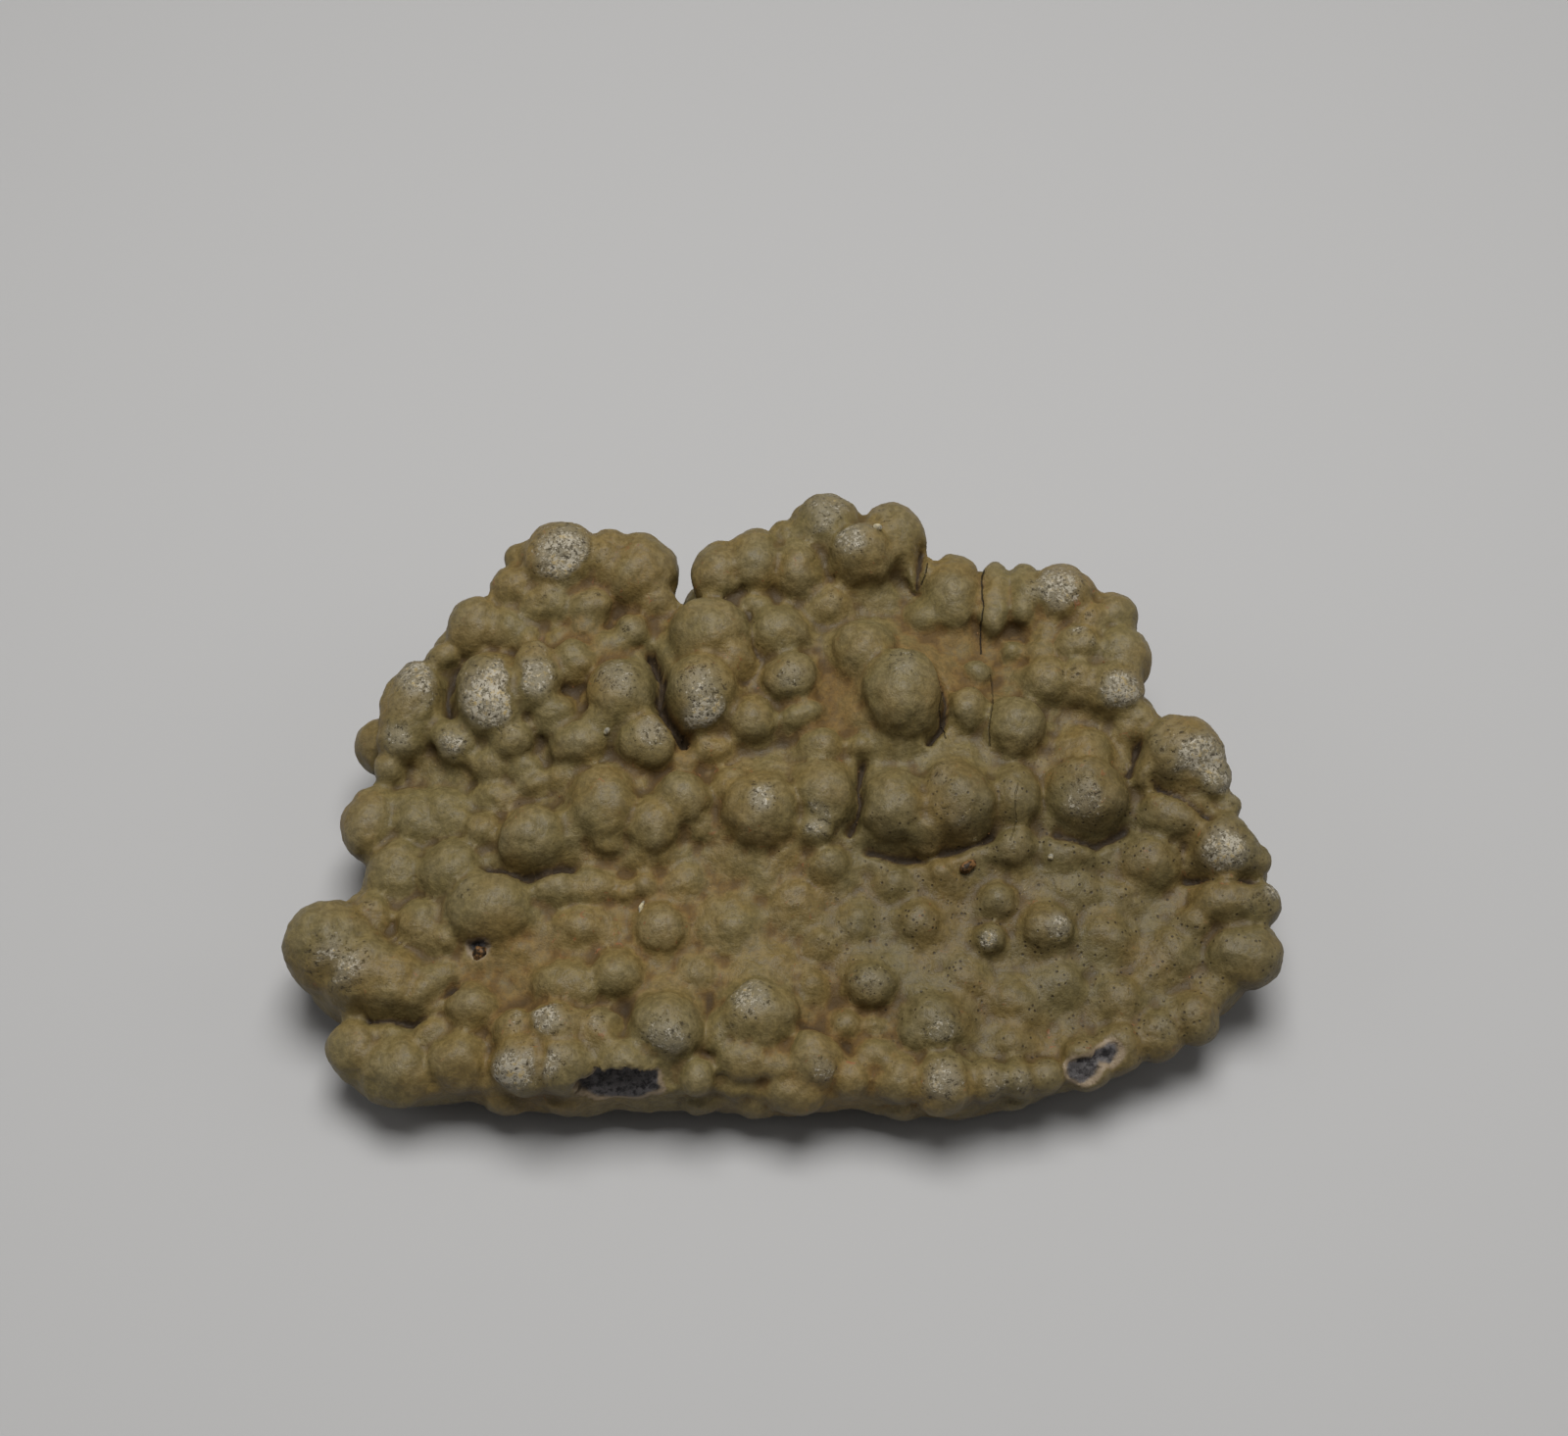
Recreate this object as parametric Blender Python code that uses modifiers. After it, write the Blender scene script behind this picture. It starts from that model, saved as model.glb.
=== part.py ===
"""A hand specimen of schalenblende sphalerite: one crust of grown-together knobs on a broken, uneven base.

The crust is one solid. A low base carries the knobs, each a ball or a cap that stands on the base's own
ground level, and the whole is fused into a single skin. Its underside ends in one flat face at z = 0, which
the stone rests on. +X runs along the specimen's length, +Y to its high back edge, +Z up.
"""

import math

import bpy
import bmesh
import numpy as np
from mathutils import Matrix

MM = 0.001

OUTLINE_CENTRE = (0.0, -2.0)
GROUND_REACH = 4.6
UNDERSIDE_REACH = 4.6
BASE_SIDES = 200
BASE_RINGS = 110
LUMP_SUBDIVISIONS = 3
BREAK_SUBDIVISIONS = 1
POLE_REACH = 1e-6
RIM_BLUFFNESS = 0.16
BASE_BELOW_GROUND = 0.3
CAP_DEPTH = 1.2
NECK_LIFT = 0.4
FOOT_REACH = 1.25
FOOT_RISE = 0.76
BASIN_RISE = 1.3
BELL_POWER = 8

SKIN_VOXEL = 0.72
SKIN_SMOOTHING = 0.5
SKIN_SMOOTHING_STEPS = 3
SKIN_KEPT = 0.185
FLOOR_BLOCK = (120.0, 100.0, 20.0)

STONE_COLOUR = (0.142, 0.105, 0.048, 1.0)
STONE_ROUGHNESS = 0.55

# The edge of the base in plan, clockwise from the left end.
OUTLINE = [
    (-37.2, -12.0), (-35.2, -10.8), (-33.2, -8.8), (-34.0, -5.0), (-33.8, -2.0), (-32.4, 0.5),
    (-32.2, 4.0), (-31.6, 7.4), (-29.4, 9.4), (-27.0, 10.8), (-25.6, 13.6), (-23.4, 16.6),
    (-20.8, 19.0), (-18.0, 20.4), (-14.0, 19.4), (-11.0, 18.0), (-9.6, 15.0), (-8.4, 13.6),
    (-7.2, 15.0), (-5.4, 18.0), (-2.4, 19.4), (1.0, 21.6), (4.4, 22.8), (8.4, 21.8),
    (10.6, 19.0), (12.4, 17.0), (17.0, 17.2), (21.0, 16.4), (24.0, 15.0), (26.8, 12.6),
    (28.0, 9.0), (28.6, 5.4), (31.0, 3.4), (33.8, 1.4), (34.6, -2.4), (36.0, -6.0),
    (37.2, -9.6), (38.0, -13.4), (36.2, -17.0), (33.6, -19.2), (30.2, -21.4), (26.4, -23.2),
    (22.2, -25.0), (18.4, -26.2), (12.0, -26.8), (5.6, -26.4), (0.0, -26.8), (-6.4, -26.2),
    (-13.0, -26.6), (-19.4, -26.4), (-24.4, -25.6), (-28.6, -26.2), (-32.2, -24.8), (-34.2, -21.8),
    (-34.4, -19.4), (-37.0, -17.6), (-38.2, -15.6), (-38.2, -13.6),
]

# Ground level between the knobs, (x, y, height), from the low front to the high back.
GROUND = [
    (-37, -15, 5.4), (-30, -14, 7.6), (-20, -14, 8.6), (-10, -14, 8.6), (0, -14, 8.6),
    (10, -14, 8.4), (20, -14, 7.8), (30, -14, 7.4), (38, -14, 7.0),
    (-33, -24, 4.6), (-25, -24, 6.2), (-15, -24, 7.2), (-5, -24, 6.6), (5, -24, 6.0),
    (15, -24, 6.0), (24, -23, 5.6), (33, -19, 5.6),
    (-34, -5, 7.0), (-28, -5, 8.6), (-20, -5, 9.6), (-10, -5, 10.0), (0, -5, 10.2),
    (10, -5, 10.4), (20, -5, 9.8), (28, -5, 9.0), (36, -5, 8.6),
    (-32, 5, 8.8), (-24, 5, 11.4), (-15, 5, 12.0), (-5, 5, 12.4), (5, 5, 12.6),
    (15, 5, 12.4), (24, 5, 11.6), (32, 3, 10.2),
    (-28, 12, 11.2), (-20, 14, 12.8), (-12, 13, 13.0), (-4, 14, 13.6), (5, 14, 13.6),
    (14, 13, 13.2), (18, 12, 13.2), (22, 11, 12.4), (27, 11, 11.4), (20, 7, 11.4),
    (-19, 21, 12.8), (-12, 20, 12.4), (-4, 20, 13.2), (5, 23, 12.6), (14, 19, 12.4), (23, 17, 11.8),
]

# Level of the broken underside; what falls below zero is the part that stands on the floor.
UNDERSIDE = [
    (-38, -13, 2.4), (-34, -22, 1.6), (-26, -26, 2.8), (-20, -27, 0.6), (-10.5, -27, 3.0), (-3, -27, 0.8),
    (4.5, -27, 2.8), (12, -27, 1.0), (22, -25, 3.0), (33, -19, 2.8), (38, -12, 3.0), (36, -4, 3.4),
    (32, 3, 3.8), (27, 11, 3.8), (20, 17, 3.6), (11, 19, 3.6), (4, 23, 4.2), (-6, 19, 4.0),
    (-18, 21, 4.2), (-26, 14, 4.2), (-32, 6, 3.6), (-35, -5, 3.0),
    (-26, -16, -0.6), (-14, -17, -1.2), (0, -17, -0.8), (13, -16, -1.0), (24, -13, -0.4), (29, -6, 0.4),
    (-27, -4, -0.4), (-14, -5, -1.4), (0, -4, -1.0), (13, -4, -1.4), (23, -2, -0.8),
    (-19, 8, -0.6), (-7, 7, -1.2), (6, 8, -1.2), (17, 7, -0.8), (6, 16, 0.4), (-12, 14, 0.6),
]

# Every knob is (x, y, radius, rise) or (x, y, radius, rise, stretch, turn): radius is its reach across the
# narrow way, rise the height of its top above the ground, stretch how much longer it is than wide, and turn
# the direction of its long way in degrees from +X.
HORN_BACK_LEFT = [
    (-18.6, 17.9, 3.6, 4.8), (-21.6, 18.6, 1.9, 2.6), (-12.3, 17.0, 3.5, 4.0, 1.05, 90),
    (-14.8, 17.8, 2.4, 3.9, 1.2, 90), (-22.3, 15.6, 2.3, 3.0), (-19.6, 14.0, 2.3, 2.8, 1.2, 0),
    (-25.4, 12.6, 2.8, 3.0), (-22.8, 12.2, 2.2, 2.4), (-16.2, 13.6, 2.1, 2.6), (-10.9, 14.4, 1.9, 2.3),
    (-16.4, 11.6, 1.6, 1.8), (-12.5, 11.4, 1.6, 2.0), (-14.6, 9.8, 1.9, 1.8, 1.3, 0),
    (-21.0, 11.0, 1.6, 1.8), (-18.6, 10.8, 1.5, 1.7),
]

RIDGE_LEFT = [
    (-30.3, 6.0, 2.9, 3.1, 1.45, 80), (-31.0, 3.2, 2.3, 2.5), (-32.2, 0.8, 1.4, 1.6),
    (-28.2, 10.0, 1.4, 1.8), (-23.7, 5.6, 3.2, 4.1, 1.3, 100), (-20.2, 6.6, 2.2, 3.7, 1.5, 95),
    (-17.3, 8.3, 2.2, 2.7), (-26.7, 2.5, 1.9, 2.3, 1.35, -45), (-22.0, 2.0, 2.0, 2.5),
    (-23.9, 0.2, 1.4, 1.6, 1.3, -35), (-21.0, -0.2, 1.4, 1.3, 1.2, 0), (-18.6, 3.6, 2.0, 2.6),
    (-16.4, 1.4, 2.4, 2.7, 1.2, 15), (-13.2, 5.2, 3.0, 3.6, 1.15, 90), (-14.6, 2.8, 1.8, 2.6),
    (-11.2, 1.0, 2.5, 3.4), (-20.0, -1.5, 1.3, 1.3, 1.4, 10), (-23.0, -2.4, 1.5, 1.3, 1.5, -5),
    (-17.2, -1.0, 1.6, 1.5, 1.3, 10),
]

FLANK_LEFT = [
    (-33.3, -3.6, 2.5, 2.3, 1.35, 90), (-29.6, -3.4, 2.4, 1.6, 1.3, -40),
    (-26.6, -3.6, 2.4, 1.5, 1.4, -40), (-24.0, -5.4, 1.6, 1.8, 1.2, 90), (-30.8, -8.0, 2.6, 1.8, 1.2, 90),
    (-26.2, -8.6, 2.9, 2.4), (-23.0, -12.1, 3.7, 3.2, 1.1, 0), (-19.9, -6.8, 2.9, 3.7),
    (-17.1, -5.6, 1.5, 2.4, 1.3, 110), (-28.4, -12.9, 2.3, 2.0),
]

MIDDLE_LEFT = [
    (-14.4, -4.0, 3.1, 3.8, 1.15, 90), (-13.9, -6.6, 1.8, 2.2), (-10.5, -5.5, 2.4, 3.1, 1.2, 90),
    (-8.3, -3.7, 2.4, 3.2), (-12.2, -2.2, 1.6, 2.0), (-6.6, -5.6, 1.5, 1.5),
    (-11.4, -8.0, 1.4, 1.2, 1.4, 0), (-8.0, -0.4, 1.4, 1.4), (-2.0, -4.7, 3.3, 4.1, 1.05, 90),
    (-4.4, -2.6, 1.9, 2.2), (-4.6, -6.0, 1.5, 1.5),
]

MIDDLE_RIGHT = [
    (2.8, -3.2, 2.7, 3.3, 1.25, 100), (2.2, -6.0, 1.8, 2.4), (2.7, 0.8, 2.0, 2.0), (3.2, -8.6, 1.9, 1.6),
    (8.6, -4.3, 3.0, 3.6, 1.05, 90), (10.9, -6.2, 1.9, 2.6), (13.4, -3.9, 3.4, 3.9, 1.05, 90),
    (18.0, -3.0, 2.3, 2.5, 1.2, 90), (17.8, -6.9, 2.1, 1.8), (5.9, 1.0, 1.4, 1.4),
    (18.4, 2.6, 2.5, 2.7, 1.1, 90), (23.8, 0.9, 2.7, 1.8), (23.9, -2.9, 3.4, 3.8),
    (22.0, -6.8, 2.2, 1.4, 1.2, 0), (28.8, -7.5, 2.7, 1.8),
]

BACK_MIDDLE = [
    (9.3, 4.8, 3.3, 4.7, 1.25, 90), (6.4, 9.0, 2.8, 3.1), (-6.2, 10.4, 3.6, 3.9),
    (-6.8, 5.2, 3.1, 4.0, 1.25, 85), (-4.4, 8.0, 2.0, 2.8), (-0.6, 10.8, 2.8, 2.6), (0.4, 6.6, 2.4, 2.8),
    (-2.8, 2.9, 2.2, 2.6), (-5.8, 0.8, 1.6, 1.5, 1.5, 10), (1.2, 3.5, 1.5, 1.6, 1.5, 20),
    (3.4, 14.0, 2.2, 1.6, 1.2, 0), (14.5, 4.1, 1.8, 2.1, 1.1, 90), (11.8, 13.0, 2.0, 1.5),
    (15.6, 7.6, 1.2, 1.1), (-2.6, 13.6, 1.6, 1.6),
]

BACK_EDGE = [
    (-5.5, 16.6, 2.3, 3.2, 1.35, 80), (-2.5, 17.6, 2.6, 3.7, 1.2, 85), (1.0, 17.0, 2.4, 3.4, 1.3, 95),
    (0.4, 20.0, 1.9, 2.9), (3.5, 20.8, 3.3, 4.6), (6.3, 17.7, 2.9, 4.9), (8.9, 20.0, 3.2, 4.4, 1.1, 90),
    (13.8, 15.2, 2.6, 3.0, 1.5, 85), (11.4, 17.0, 1.5, 2.5, 1.3, 90), (17.3, 14.4, 1.6, 2.5, 2.3, 86),
    (19.8, 14.8, 1.7, 2.9, 1.9, 84), (22.9, 14.6, 3.1, 4.1), (25.0, 12.3, 2.3, 3.2),
    (24.1, 9.8, 2.4, 3.1), (27.0, 13.0, 2.4, 3.0), (27.2, 9.4, 2.8, 3.3, 1.1, 90), (26.4, 6.2, 2.8, 3.4),
    (21.3, 6.9, 2.4, 2.5), (24.0, 6.8, 2.4, 2.8), (28.3, 3.6, 1.7, 1.8, 1.3, 40), (21.6, 11.6, 1.9, 2.1),
    (21.0, 9.2, 1.7, 1.8), (18.6, 9.8, 1.0, 1.1),
]

RIGHT_END = [
    (31.7, 0.8, 3.6, 4.2), (33.5, -1.2, 2.2, 3.0), (29.0, -0.6, 2.0, 2.5),
    (31.0, -4.0, 2.5, 2.7, 1.35, -5), (35.2, -3.2, 1.3, 1.8), (34.6, -7.0, 2.8, 3.5, 1.1, 90),
    (37.0, -8.0, 1.3, 2.0), (35.3, -11.1, 2.3, 2.6, 1.6, 0), (35.7, -15.2, 2.7, 2.5, 1.15, 10),
    (32.0, -12.4, 1.8, 1.2),
]

# Low knobs that stand clear in the basin in front of the middle row.
LOW_KNOBS = [
    (20.2, -13.4, 2.2, 1.8), (15.7, -14.4, 1.2, 1.2), (16.4, -11.2, 1.6, 1.2), (10.2, -12.9, 1.8, 1.2),
    (6.4, -18.1, 2.0, 1.9), (4.2, -21.3, 1.5, 1.3), (11.2, -21.2, 2.8, 2.2, 1.1, 10),
    (-18.2, -10.5, 1.9, 2.0, 1.2, 0), (-15.2, -10.4, 1.7, 1.6, 1.3, 0), (-12.8, -10.8, 1.0, 1.0),
    (-11.2, -10.1, 1.1, 1.1), (-13.2, -17.6, 2.2, 2.0), (-9.8, -13.9, 2.1, 1.6),
    (-16.8, -18.4, 2.4, 1.9, 1.2, 0),
]

# Swellings hardly more than waves, same form as the knobs but soft all over.
BASIN = [
    (22.6, -10.3, 2.2, 0.9), (8.4, -10.0, 1.6, 1.0), (12.1, -9.4, 1.5, 1.0), (0.6, -11.6, 2.4, 0.9),
    (30.6, -14.8, 2.6, 1.3), (25.2, -14.0, 2.6, 1.1), (25.8, -19.0, 2.4, 1.2), (29.6, -20.4, 2.2, 1.0),
    (21.2, -17.6, 2.1, 1.0), (1.8, -18.5, 1.8, 1.1), (-4.5, -13.5, 2.8, 1.2), (6.8, -21.6, 1.5, 1.1),
    (17.5, -19.3, 2.4, 0.9), (17.0, -22.4, 2.2, 1.0), (33.2, -18.0, 2.0, 1.1),
    (-16.0, -13.8, 2.4, 1.4, 1.3, 0), (-8.0, -9.9, 1.9, 1.0), (-2.0, -9.6, 2.0, 0.9),
    (5.6, -13.2, 1.8, 0.8), (-1.2, -16.6, 1.9, 0.9), (13.8, -17.4, 2.0, 0.8), (31.6, -11.4, 2.2, 0.8),
    (26.6, -10.8, 1.9, 0.8), (-6.6, -17.4, 2.0, 1.0), (2.8, -14.9, 1.6, 0.7), (-20.6, -15.2, 1.9, 1.0),
    (28.4, -16.8, 1.7, 0.9),
]

LEFT_LOBE = [
    (-35.4, -14.5, 3.8, 4.5), (-33.0, -16.4, 3.4, 3.7), (-30.6, -17.6, 3.0, 3.0),
    (-27.8, -18.5, 2.1, 2.2), (-32.4, -12.0, 1.7, 2.2, 1.2, -60), (-24.0, -19.8, 2.3, 2.0),
    (-26.6, -17.0, 1.6, 1.3), (-26.6, -14.2, 1.9, 1.8),
]

FRONT_EDGE = [
    (-32.8, -22.4, 2.5, 2.0), (-29.6, -23.9, 2.8, 2.1, 1.2, 0), (-25.0, -23.6, 2.5, 2.1),
    (-30.6, -21.0, 1.6, 1.5), (-27.2, -21.6, 1.6, 1.6), (-17.4, -22.0, 2.5, 2.7),
    (-19.8, -24.4, 2.6, 2.6), (-16.8, -24.7, 2.4, 2.6), (-20.8, -22.0, 1.8, 2.0),
    (-14.2, -22.6, 2.6, 2.1), (-12.2, -24.4, 2.6, 2.2, 1.2, 0), (-9.3, -22.0, 2.9, 3.2),
    (-2.2, -20.8, 3.3, 3.1), (-5.2, -22.0, 1.5, 1.9, 1.3, 90), (-3.3, -23.9, 2.1, 1.9, 1.2, 0),
    (-6.8, -25.6, 1.4, 1.3), (2.0, -24.0, 2.4, 2.6), (-0.6, -24.6, 1.3, 1.7),
    (0.6, -26.0, 1.7, 1.0, 1.3, 0), (4.8, -25.3, 1.6, 1.5), (6.8, -23.7, 1.9, 1.5),
    (8.4, -25.3, 1.9, 1.7, 1.2, 0), (11.8, -25.7, 2.5, 2.5), (15.0, -25.6, 1.7, 1.9),
    (17.3, -25.3, 1.5, 1.7), (19.6, -25.0, 1.4, 1.4), (22.8, -23.6, 2.0, 1.4), (25.4, -22.4, 1.9, 1.2),
    (28.4, -21.2, 1.9, 1.1), (31.4, -19.8, 1.9, 1.1),
]

# Lobes low on the sides, back and front, (x, y, height of the middle, radius), below the knobs of the top.
SIDE_LOBES = [
    (-33.0, 4.4, 6.6, 2.6), (-30.2, 8.6, 7.2, 2.8), (-26.4, 12.4, 8.2, 3.0), (-22.6, 16.6, 8.8, 2.8),
    (-18.2, 19.4, 8.6, 3.2), (-13.2, 18.4, 8.4, 2.8), (-6.0, 16.6, 8.6, 2.6), (-1.6, 19.0, 8.8, 2.8),
    (3.6, 21.8, 8.6, 3.2), (8.8, 20.6, 8.4, 2.8), (13.6, 17.2, 8.4, 2.6), (18.2, 16.8, 8.0, 2.6),
    (23.0, 15.2, 7.6, 2.8), (27.0, 11.6, 7.4, 2.6), (28.4, 6.4, 7.2, 2.6), (32.4, 2.4, 7.0, 2.6),
    (34.4, -2.4, 6.4, 2.4), (35.8, -7.6, 6.2, 2.6), (-33.6, -2.6, 5.6, 2.4), (-36.4, -13.0, 4.6, 2.6),
    (-31.5, -23.4, 3.6, 2.2), (-21.5, -24.8, 3.8, 2.2), (-17.0, -25.0, 4.2, 2.2), (-6.5, -25.0, 3.8, 2.1),
    (-2.2, -25.2, 3.6, 2.2), (9.0, -25.2, 3.6, 2.2), (13.0, -25.2, 3.8, 2.2), (17.0, -24.8, 3.8, 2.1),
    (29.0, -19.8, 4.4, 2.0),
]

# The old break in the front edge and the two small chips to its right, (x, y, z), reach along x, y, z.
BREAKS = [
    ((-12.6, -28.6, 3.6), (3.1, 3.4, 3.4)),
    ((22.3, -26.0, 6.4), (1.1, 1.4, 1.2)),
    ((24.2, -24.2, 6.4), (0.9, 1.1, 1.1)),
]


def blended_height(spots, reach):
    """A smooth height over the plan, drawn from the nearest spots."""
    table = np.array(spots, float)

    def height(x, y):
        away = (table[:, 0] - x) ** 2 + (table[:, 1] - y) ** 2
        share = np.exp(-(away - away.min()) / (2 * reach * reach))
        return float(share @ table[:, 2] / share.sum())

    return height


def soft_rises(lumps, reach_share, rise_share):
    """How far the ground swells under a list of lumps: one soft bell each, the tallest ones leading."""
    table = np.array([(lump + (1.0, 0.0))[:6] if len(lump) == 4 else lump for lump in lumps], float)
    cosine, sine = np.cos(np.radians(table[:, 5])), np.sin(np.radians(table[:, 5]))

    def swell(x, y):
        along = (x - table[:, 0]) * cosine + (y - table[:, 1]) * sine
        across = (y - table[:, 1]) * cosine - (x - table[:, 0]) * sine
        reach = table[:, 2] * reach_share
        away = (along / (reach * table[:, 4])) ** 2 + (across / reach) ** 2
        bells = table[:, 3] * rise_share * np.exp(-away)
        return float((bells ** BELL_POWER).sum() ** (1 / BELL_POWER))

    return swell


ground_height = blended_height(GROUND, GROUND_REACH)
underside_height = blended_height(UNDERSIDE, UNDERSIDE_REACH)
KNOBS = [knob for region in (HORN_BACK_LEFT, RIDGE_LEFT, FLANK_LEFT, MIDDLE_LEFT, MIDDLE_RIGHT, BACK_MIDDLE,
                             BACK_EDGE, RIGHT_END, LOW_KNOBS, LEFT_LOBE, FRONT_EDGE) for knob in region]
knob_feet = soft_rises(KNOBS, FOOT_REACH, FOOT_RISE)
basin_swell = soft_rises(BASIN, 1.0, BASIN_RISE)


def outline_reach(angle):
    """How far the outline lies from its centre in one direction."""
    steps = np.array(OUTLINE) - np.array(OUTLINE_CENTRE)
    angles = np.arctan2(steps[:, 1], steps[:, 0])
    order = np.argsort(angles)
    reaches = np.hypot(steps[:, 0], steps[:, 1])
    return float(np.interp(angle, angles[order], reaches[order], period=2 * math.pi))


def add_base(bm):
    """The base under the knobs: a ball flattened between ground and underside, out to the outline."""
    made = bmesh.ops.create_uvsphere(bm, u_segments=BASE_SIDES, v_segments=BASE_RINGS, radius=1.0)
    for vertex in made["verts"]:
        across = math.hypot(vertex.co.x, vertex.co.y)
        reach = outline_reach(math.atan2(vertex.co.y, vertex.co.x)) if across > POLE_REACH else 0.0
        x = OUTLINE_CENTRE[0] + vertex.co.x * reach
        y = OUTLINE_CENTRE[1] + vertex.co.y * reach
        top = ground_height(x, y) - BASE_BELOW_GROUND + max(knob_feet(x, y), basin_swell(x, y))
        bottom = underside_height(x, y)
        middle = (top + bottom) / 2
        fullness = abs(vertex.co.z) ** RIM_BLUFFNESS
        level = top if vertex.co.z > 0 else bottom
        vertex.co = (x * MM, y * MM, (middle + (level - middle) * fullness) * MM)


def add_ball(bm, centre, sizes, turn=0.0):
    """One rounded lump, given by its half lengths and the turn of its long way."""
    place = Matrix.Translation([c * MM for c in centre])
    lay = Matrix.Rotation(math.radians(turn), 4, "Z")
    size = Matrix.Diagonal([s * MM for s in sizes] + [1.0])
    bmesh.ops.create_icosphere(bm, subdivisions=LUMP_SUBDIVISIONS, radius=1.0, matrix=place @ lay @ size)


def cap_sizes(radius, rise):
    """Half width and half height of the lump whose cap has this reach and this rise."""
    deep = min((radius * radius + rise * rise) / (2 * rise), rise + CAP_DEPTH)
    return radius / math.sqrt(1 - ((deep - rise) / deep) ** 2), deep


def add_knob(bm, x, y, radius, rise, stretch=1.0, turn=0.0):
    """A ball, or a cap where it rises less than its radius, with its own middle height."""
    ground = ground_height(x, y)
    wide, deep = (radius, radius) if rise > radius else cap_sizes(radius, rise)
    add_ball(bm, (x, y, ground + rise - deep), (wide * stretch, wide, deep), turn)
    if rise > radius:
        middle = ground + NECK_LIFT * (rise - radius)
        add_ball(bm, (x, y, middle), (radius * stretch, radius, radius + middle - ground), turn)


def collection(name):
    made = bpy.data.collections.new(name)
    bpy.context.scene.collection.children.link(made)
    return made


def stone_material():
    material = bpy.data.materials.new("sphalerite_stone")
    material.use_nodes = True
    shader = material.node_tree.nodes["Principled BSDF"]
    shader.inputs["Base Color"].default_value = STONE_COLOUR
    shader.inputs["Roughness"].default_value = STONE_ROUGHNESS
    shader.inputs["Metallic"].default_value = 0.0
    return material


def object_from(bm, name, where):
    mesh = bpy.data.meshes.new(name)
    bm.to_mesh(mesh)
    bm.free()
    made = bpy.data.objects.new(name, mesh)
    where.objects.link(made)
    return made


def cutter(name, bm, where):
    made = object_from(bm, name, where)
    made.hide_render = True
    made.display_type = "WIRE"
    return made


def cut(target, tool):
    difference = target.modifiers.new(tool.name, "BOOLEAN")
    difference.operation = "DIFFERENCE"
    difference.solver = "EXACT"
    difference.object = tool


def floor_block(where):
    """Takes off what hangs below z = 0, which leaves the flat face that the stone rests on."""
    bm = bmesh.new()
    bmesh.ops.create_cube(bm, size=1.0)
    bmesh.ops.scale(bm, vec=[s * MM for s in FLOOR_BLOCK], verts=bm.verts)
    bmesh.ops.translate(bm, vec=(0.0, 0.0, -FLOOR_BLOCK[2] / 2 * MM), verts=bm.verts)
    return cutter("floor_block", bm, where)


def break_block(where):
    """The broken places on the front edge, as blunt lumps that bite into it."""
    bm = bmesh.new()
    for centre, sizes in BREAKS:
        place = Matrix.Translation([c * MM for c in centre])
        size = Matrix.Diagonal([s * MM for s in sizes] + [1.0])
        bmesh.ops.create_icosphere(bm, subdivisions=BREAK_SUBDIVISIONS, radius=1.0, matrix=place @ size)
    return cutter("edge_breaks", bm, where)


def crust(where, cutters):
    bm = bmesh.new()
    add_base(bm)
    for knob in KNOBS:
        add_knob(bm, *knob)
    for x, y, height, radius in SIDE_LOBES:
        add_ball(bm, (x, y, height), (radius, radius, radius))
    made = object_from(bm, "botryoidal_crust", where)
    skin = made.modifiers.new("skin", "REMESH")
    skin.mode = "VOXEL"
    skin.voxel_size = SKIN_VOXEL * MM
    skin.use_smooth_shade = True
    smooth = made.modifiers.new("soften", "SMOOTH")
    smooth.factor = SKIN_SMOOTHING
    smooth.iterations = SKIN_SMOOTHING_STEPS
    fewer = made.modifiers.new("fewer_faces", "DECIMATE")
    fewer.ratio = SKIN_KEPT
    cut(made, floor_block(cutters))
    cut(made, break_block(cutters))
    made.data.materials.append(stone_material())
    return made


def main():
    for old in list(bpy.data.objects):
        bpy.data.objects.remove(old)
    crust(collection("schalenblende_sphalerite"), collection("cutters"))


main()
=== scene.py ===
"""The looks of a schalenblende sphalerite hand specimen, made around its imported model.

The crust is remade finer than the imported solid, from the same lists of knobs, swells and levels, in
millimetres. Then it gets its gaps, broken places, dust, cracks and wear. Grit lies in its creases, and a
few brown and pale grains are stuck between its knobs.
"""

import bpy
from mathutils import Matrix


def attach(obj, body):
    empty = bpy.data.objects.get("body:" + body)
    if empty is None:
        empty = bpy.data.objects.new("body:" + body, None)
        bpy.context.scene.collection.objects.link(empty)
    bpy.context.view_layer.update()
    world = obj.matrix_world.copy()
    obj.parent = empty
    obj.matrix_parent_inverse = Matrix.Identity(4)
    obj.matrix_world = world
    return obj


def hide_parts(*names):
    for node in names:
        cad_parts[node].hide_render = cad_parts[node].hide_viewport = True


bl_info = {
    "name": "Sphalerite specimen",
    "version": (1, 0, 0),
    "blender": (4, 5, 0),
    "location": "3D View > Sidebar > Specimen",
    "description": "Makes a botryoidal sphalerite hand specimen, its finish and its stage",
    "category": "Object",
}

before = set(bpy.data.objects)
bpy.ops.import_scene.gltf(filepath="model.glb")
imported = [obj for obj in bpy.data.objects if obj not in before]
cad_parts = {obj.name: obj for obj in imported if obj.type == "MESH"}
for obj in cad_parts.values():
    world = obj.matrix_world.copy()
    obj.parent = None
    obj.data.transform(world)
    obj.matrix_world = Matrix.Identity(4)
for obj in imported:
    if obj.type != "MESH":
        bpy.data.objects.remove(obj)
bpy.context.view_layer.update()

import math

import bmesh
import bpy
import numpy as np
from mathutils import Matrix, Vector

MM = 0.001
BODY = "root"
NODE = "botryoidal_crust"

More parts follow.
